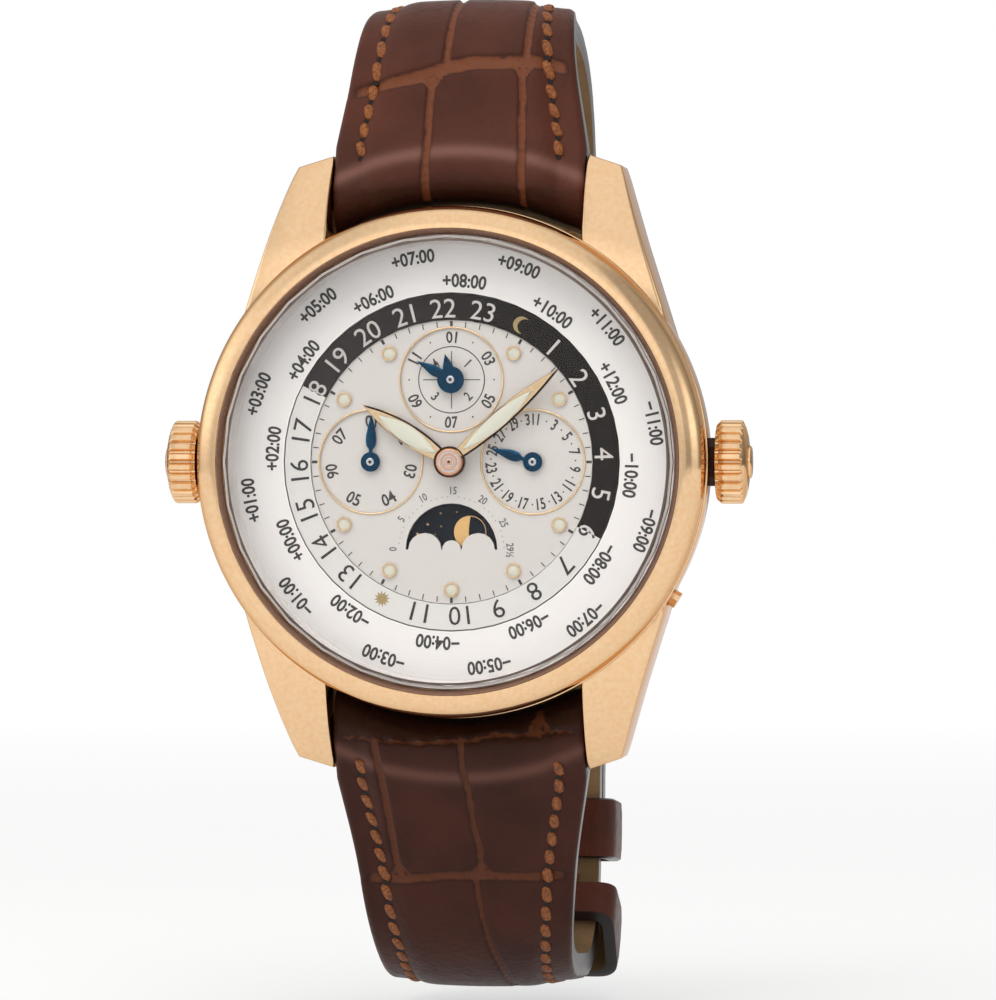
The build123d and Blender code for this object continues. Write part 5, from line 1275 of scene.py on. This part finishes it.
# floor, light and camera; the room is (place from left to right, strength)
studio = {
    "floorHalf": 1.5, "floorDrop": 0.0001, "floorClear": 160.0, "floorFull": 500.0, "distance": 0.4,
    "azimuth": 7.3, "elevation": 0.4, "lens": 180.9, "hub": (0, 0, 10.1), "rightShift": 3.86,
    "downShift": 3.03, "roomLow": 0.8, "roomHigh": 1.45, "roomAbove": 0.76, "roomFront": 0.9,
    "roomBack": 0.55, "fillLow": 0.2, "fillHigh": 0.75,
    "room": ((0, 1.0), (0.25, 1.0), (0.42, 0.93), (0.55, 0.92), (0.7, 0.8), (0.8, 0.42), (0.92, 0.42),
             (1, 0.75)),
    "lamps": {"softboxAbove": ((-0.05, -0.28, 0.42), (0.5, 0.34), 1.5, (1.0, 0.99, 0.97)),
              "softboxLeft": ((-0.5, -0.35, 0.12), (0.25, 0.4), 0.5, (1.0, 0.98, 0.96))},
}


def layFloor(height):
    # near the watch a pale matt sheet that takes its shadow, fading to the plain white of the backdrop
    finish, tree, place = newFinish("paperSheet")
    away = addNode(tree, "ShaderNodeVectorMath", {0: place}, operation="LENGTH").outputs["Value"]
    fade = inRange(tree, away, studio["floorClear"], studio["floorFull"], 0.55, 1.0)
    sheet = mixColour(tree, noise(tree, place, 0.9, 2.0), "#F7F7F6", "#FBFBFB")
    matt = addNode(tree, "ShaderNodeBsdfDiffuse", {"Color": sheet})
    white = addNode(tree, "ShaderNodeEmission", {"Color": (1, 1, 1, 1), "Strength": 1.0})
    path = addNode(tree, "ShaderNodeLightPath").outputs
    seen = maths(tree, "MAXIMUM", path["Is Camera Ray"], path["Is Glossy Ray"])
    seen = maths(tree, "MAXIMUM", seen, path["Is Transmission Ray"])
    mix = addNode(tree, "ShaderNodeMixShader", {0: maths(tree, "MULTIPLY", seen, fade),
                                                1: matt.outputs[0], 2: white.outputs[0]})
    closeFinish(tree, mix.outputs[0])
    half = studio["floorHalf"]
    mesh = bpy.data.meshes.new("floorSheet")
    mesh.from_pydata([(x, y, height) for x, y in box(-half, half, -half, half)], [], [(0, 1, 2, 3)])
    mesh.materials.append(finish)
    floor = bpy.data.objects.new("floorSheet", mesh)
    bpy.context.scene.collection.objects.link(floor)


def hangLamp(name, place, size, power, tint):
    data = bpy.data.lights.new(name, "AREA")
    data.shape, data.size, data.size_y, data.energy, data.color = "RECTANGLE", *size, power, tint
    lamp = bpy.data.objects.new(name, data)
    lamp.visible_glossy = False
    lamp.location = place
    lamp.rotation_mode = "QUATERNION"
    lamp.rotation_quaternion = (-Vector(place)).to_track_quat("-Z", "Y")
    bpy.context.scene.collection.objects.link(lamp)


def lightRoom():
    # white to the eye; mirrors see a room that is bright above and greyer to the sides and below
    world = bpy.data.worlds.new("studioRoom")
    world.use_nodes = True
    tree = world.node_tree
    tree.nodes.clear()
    place = addNode(tree, "ShaderNodeTexCoord").outputs["Generated"]
    split = addNode(tree, "ShaderNodeSeparateXYZ", {0: place}).outputs
    # from left to right: a big window, a grey middle, a dark screen, and white again at the far right
    across = addNode(tree, "ShaderNodeValToRGB", {0: inRange(tree, split["X"], -1.0, 1.0, 0.0, 1.0)})
    across.color_ramp.interpolation = "EASE"
    stops = across.color_ramp.elements
    for at, grey in studio["room"]:
        stop = stops[0] if at == 0 else stops[1] if at == 1 else stops.new(at)
        stop.color = (grey, grey, grey, 1)
    # from below to above, then from front to back
    room = across.outputs[0]
    for share in (inRange(tree, split["Z"], -0.02, 0.14, studio["roomLow"], studio["roomHigh"]),
                  inRange(tree, split["Z"], 0.3, 0.55, 1.0, studio["roomAbove"]),
                  inRange(tree, split["Y"], -1.0, -0.75, studio["roomFront"], 1.0, "SMOOTHSTEP"),
                  inRange(tree, split["Y"], 0.2, 0.8, 1.0, studio["roomBack"], "SMOOTHSTEP")):
        room = maths(tree, "MULTIPLY", room, share)
    fill = inRange(tree, split["Z"], -0.9, 0.9, studio["fillLow"], studio["fillHigh"])
    mirror, soft, white = (
        addNode(tree, "ShaderNodeBackground", {"Color": (1, 1, 1, 1), "Strength": strength}).outputs[0]
        for strength in (room, fill, 1.0))
    path = addNode(tree, "ShaderNodeLightPath").outputs
    lit = addNode(tree, "ShaderNodeMixShader", {0: path["Is Glossy Ray"], 1: soft, 2: mirror})
    seen = maths(tree, "MAXIMUM", path["Is Camera Ray"], path["Is Transmission Ray"])
    mix = addNode(tree, "ShaderNodeMixShader", {0: seen, 1: lit.outputs[0], 2: white})
    addNode(tree, "ShaderNodeOutputWorld", {"Surface": mix.outputs[0]})
    bpy.context.scene.world = world


def placeCamera():
    # a long lens that looks level at the dial from a little to the right
    data = bpy.data.cameras.new("photoCamera")
    data.lens, data.sensor_width, data.clip_start = studio["lens"], 36.0, 0.01
    camera = bpy.data.objects.new("photoCamera", data)
    azimuth, elevation = studio["azimuth"] * degree, studio["elevation"] * degree
    back = Vector((math.sin(azimuth) * math.cos(elevation), -math.cos(azimuth) * math.cos(elevation),
                   math.sin(elevation)))
    right, down = Vector((math.cos(azimuth), math.sin(azimuth), 0)), Vector((0, 0, -1))
    aim = Vector(toFrame([studio["hub"]])[0])
    aim = aim + right * studio["rightShift"] * mm + down * studio["downShift"] * mm
    camera.location = aim + back * studio["distance"]
    camera.rotation_mode = "QUATERNION"
    camera.rotation_quaternion = (-back).to_track_quat("-Z", "Y")
    bpy.context.scene.collection.objects.link(camera)
    bpy.context.scene.camera = camera


layFloor(cadBox[0].z - studio["floorDrop"])
lightRoom()
for name, settings in studio["lamps"].items():
    hangLamp(name, *settings)
placeCamera()
bpy.context.scene.view_settings.view_transform = "Standard"
print("stage set")
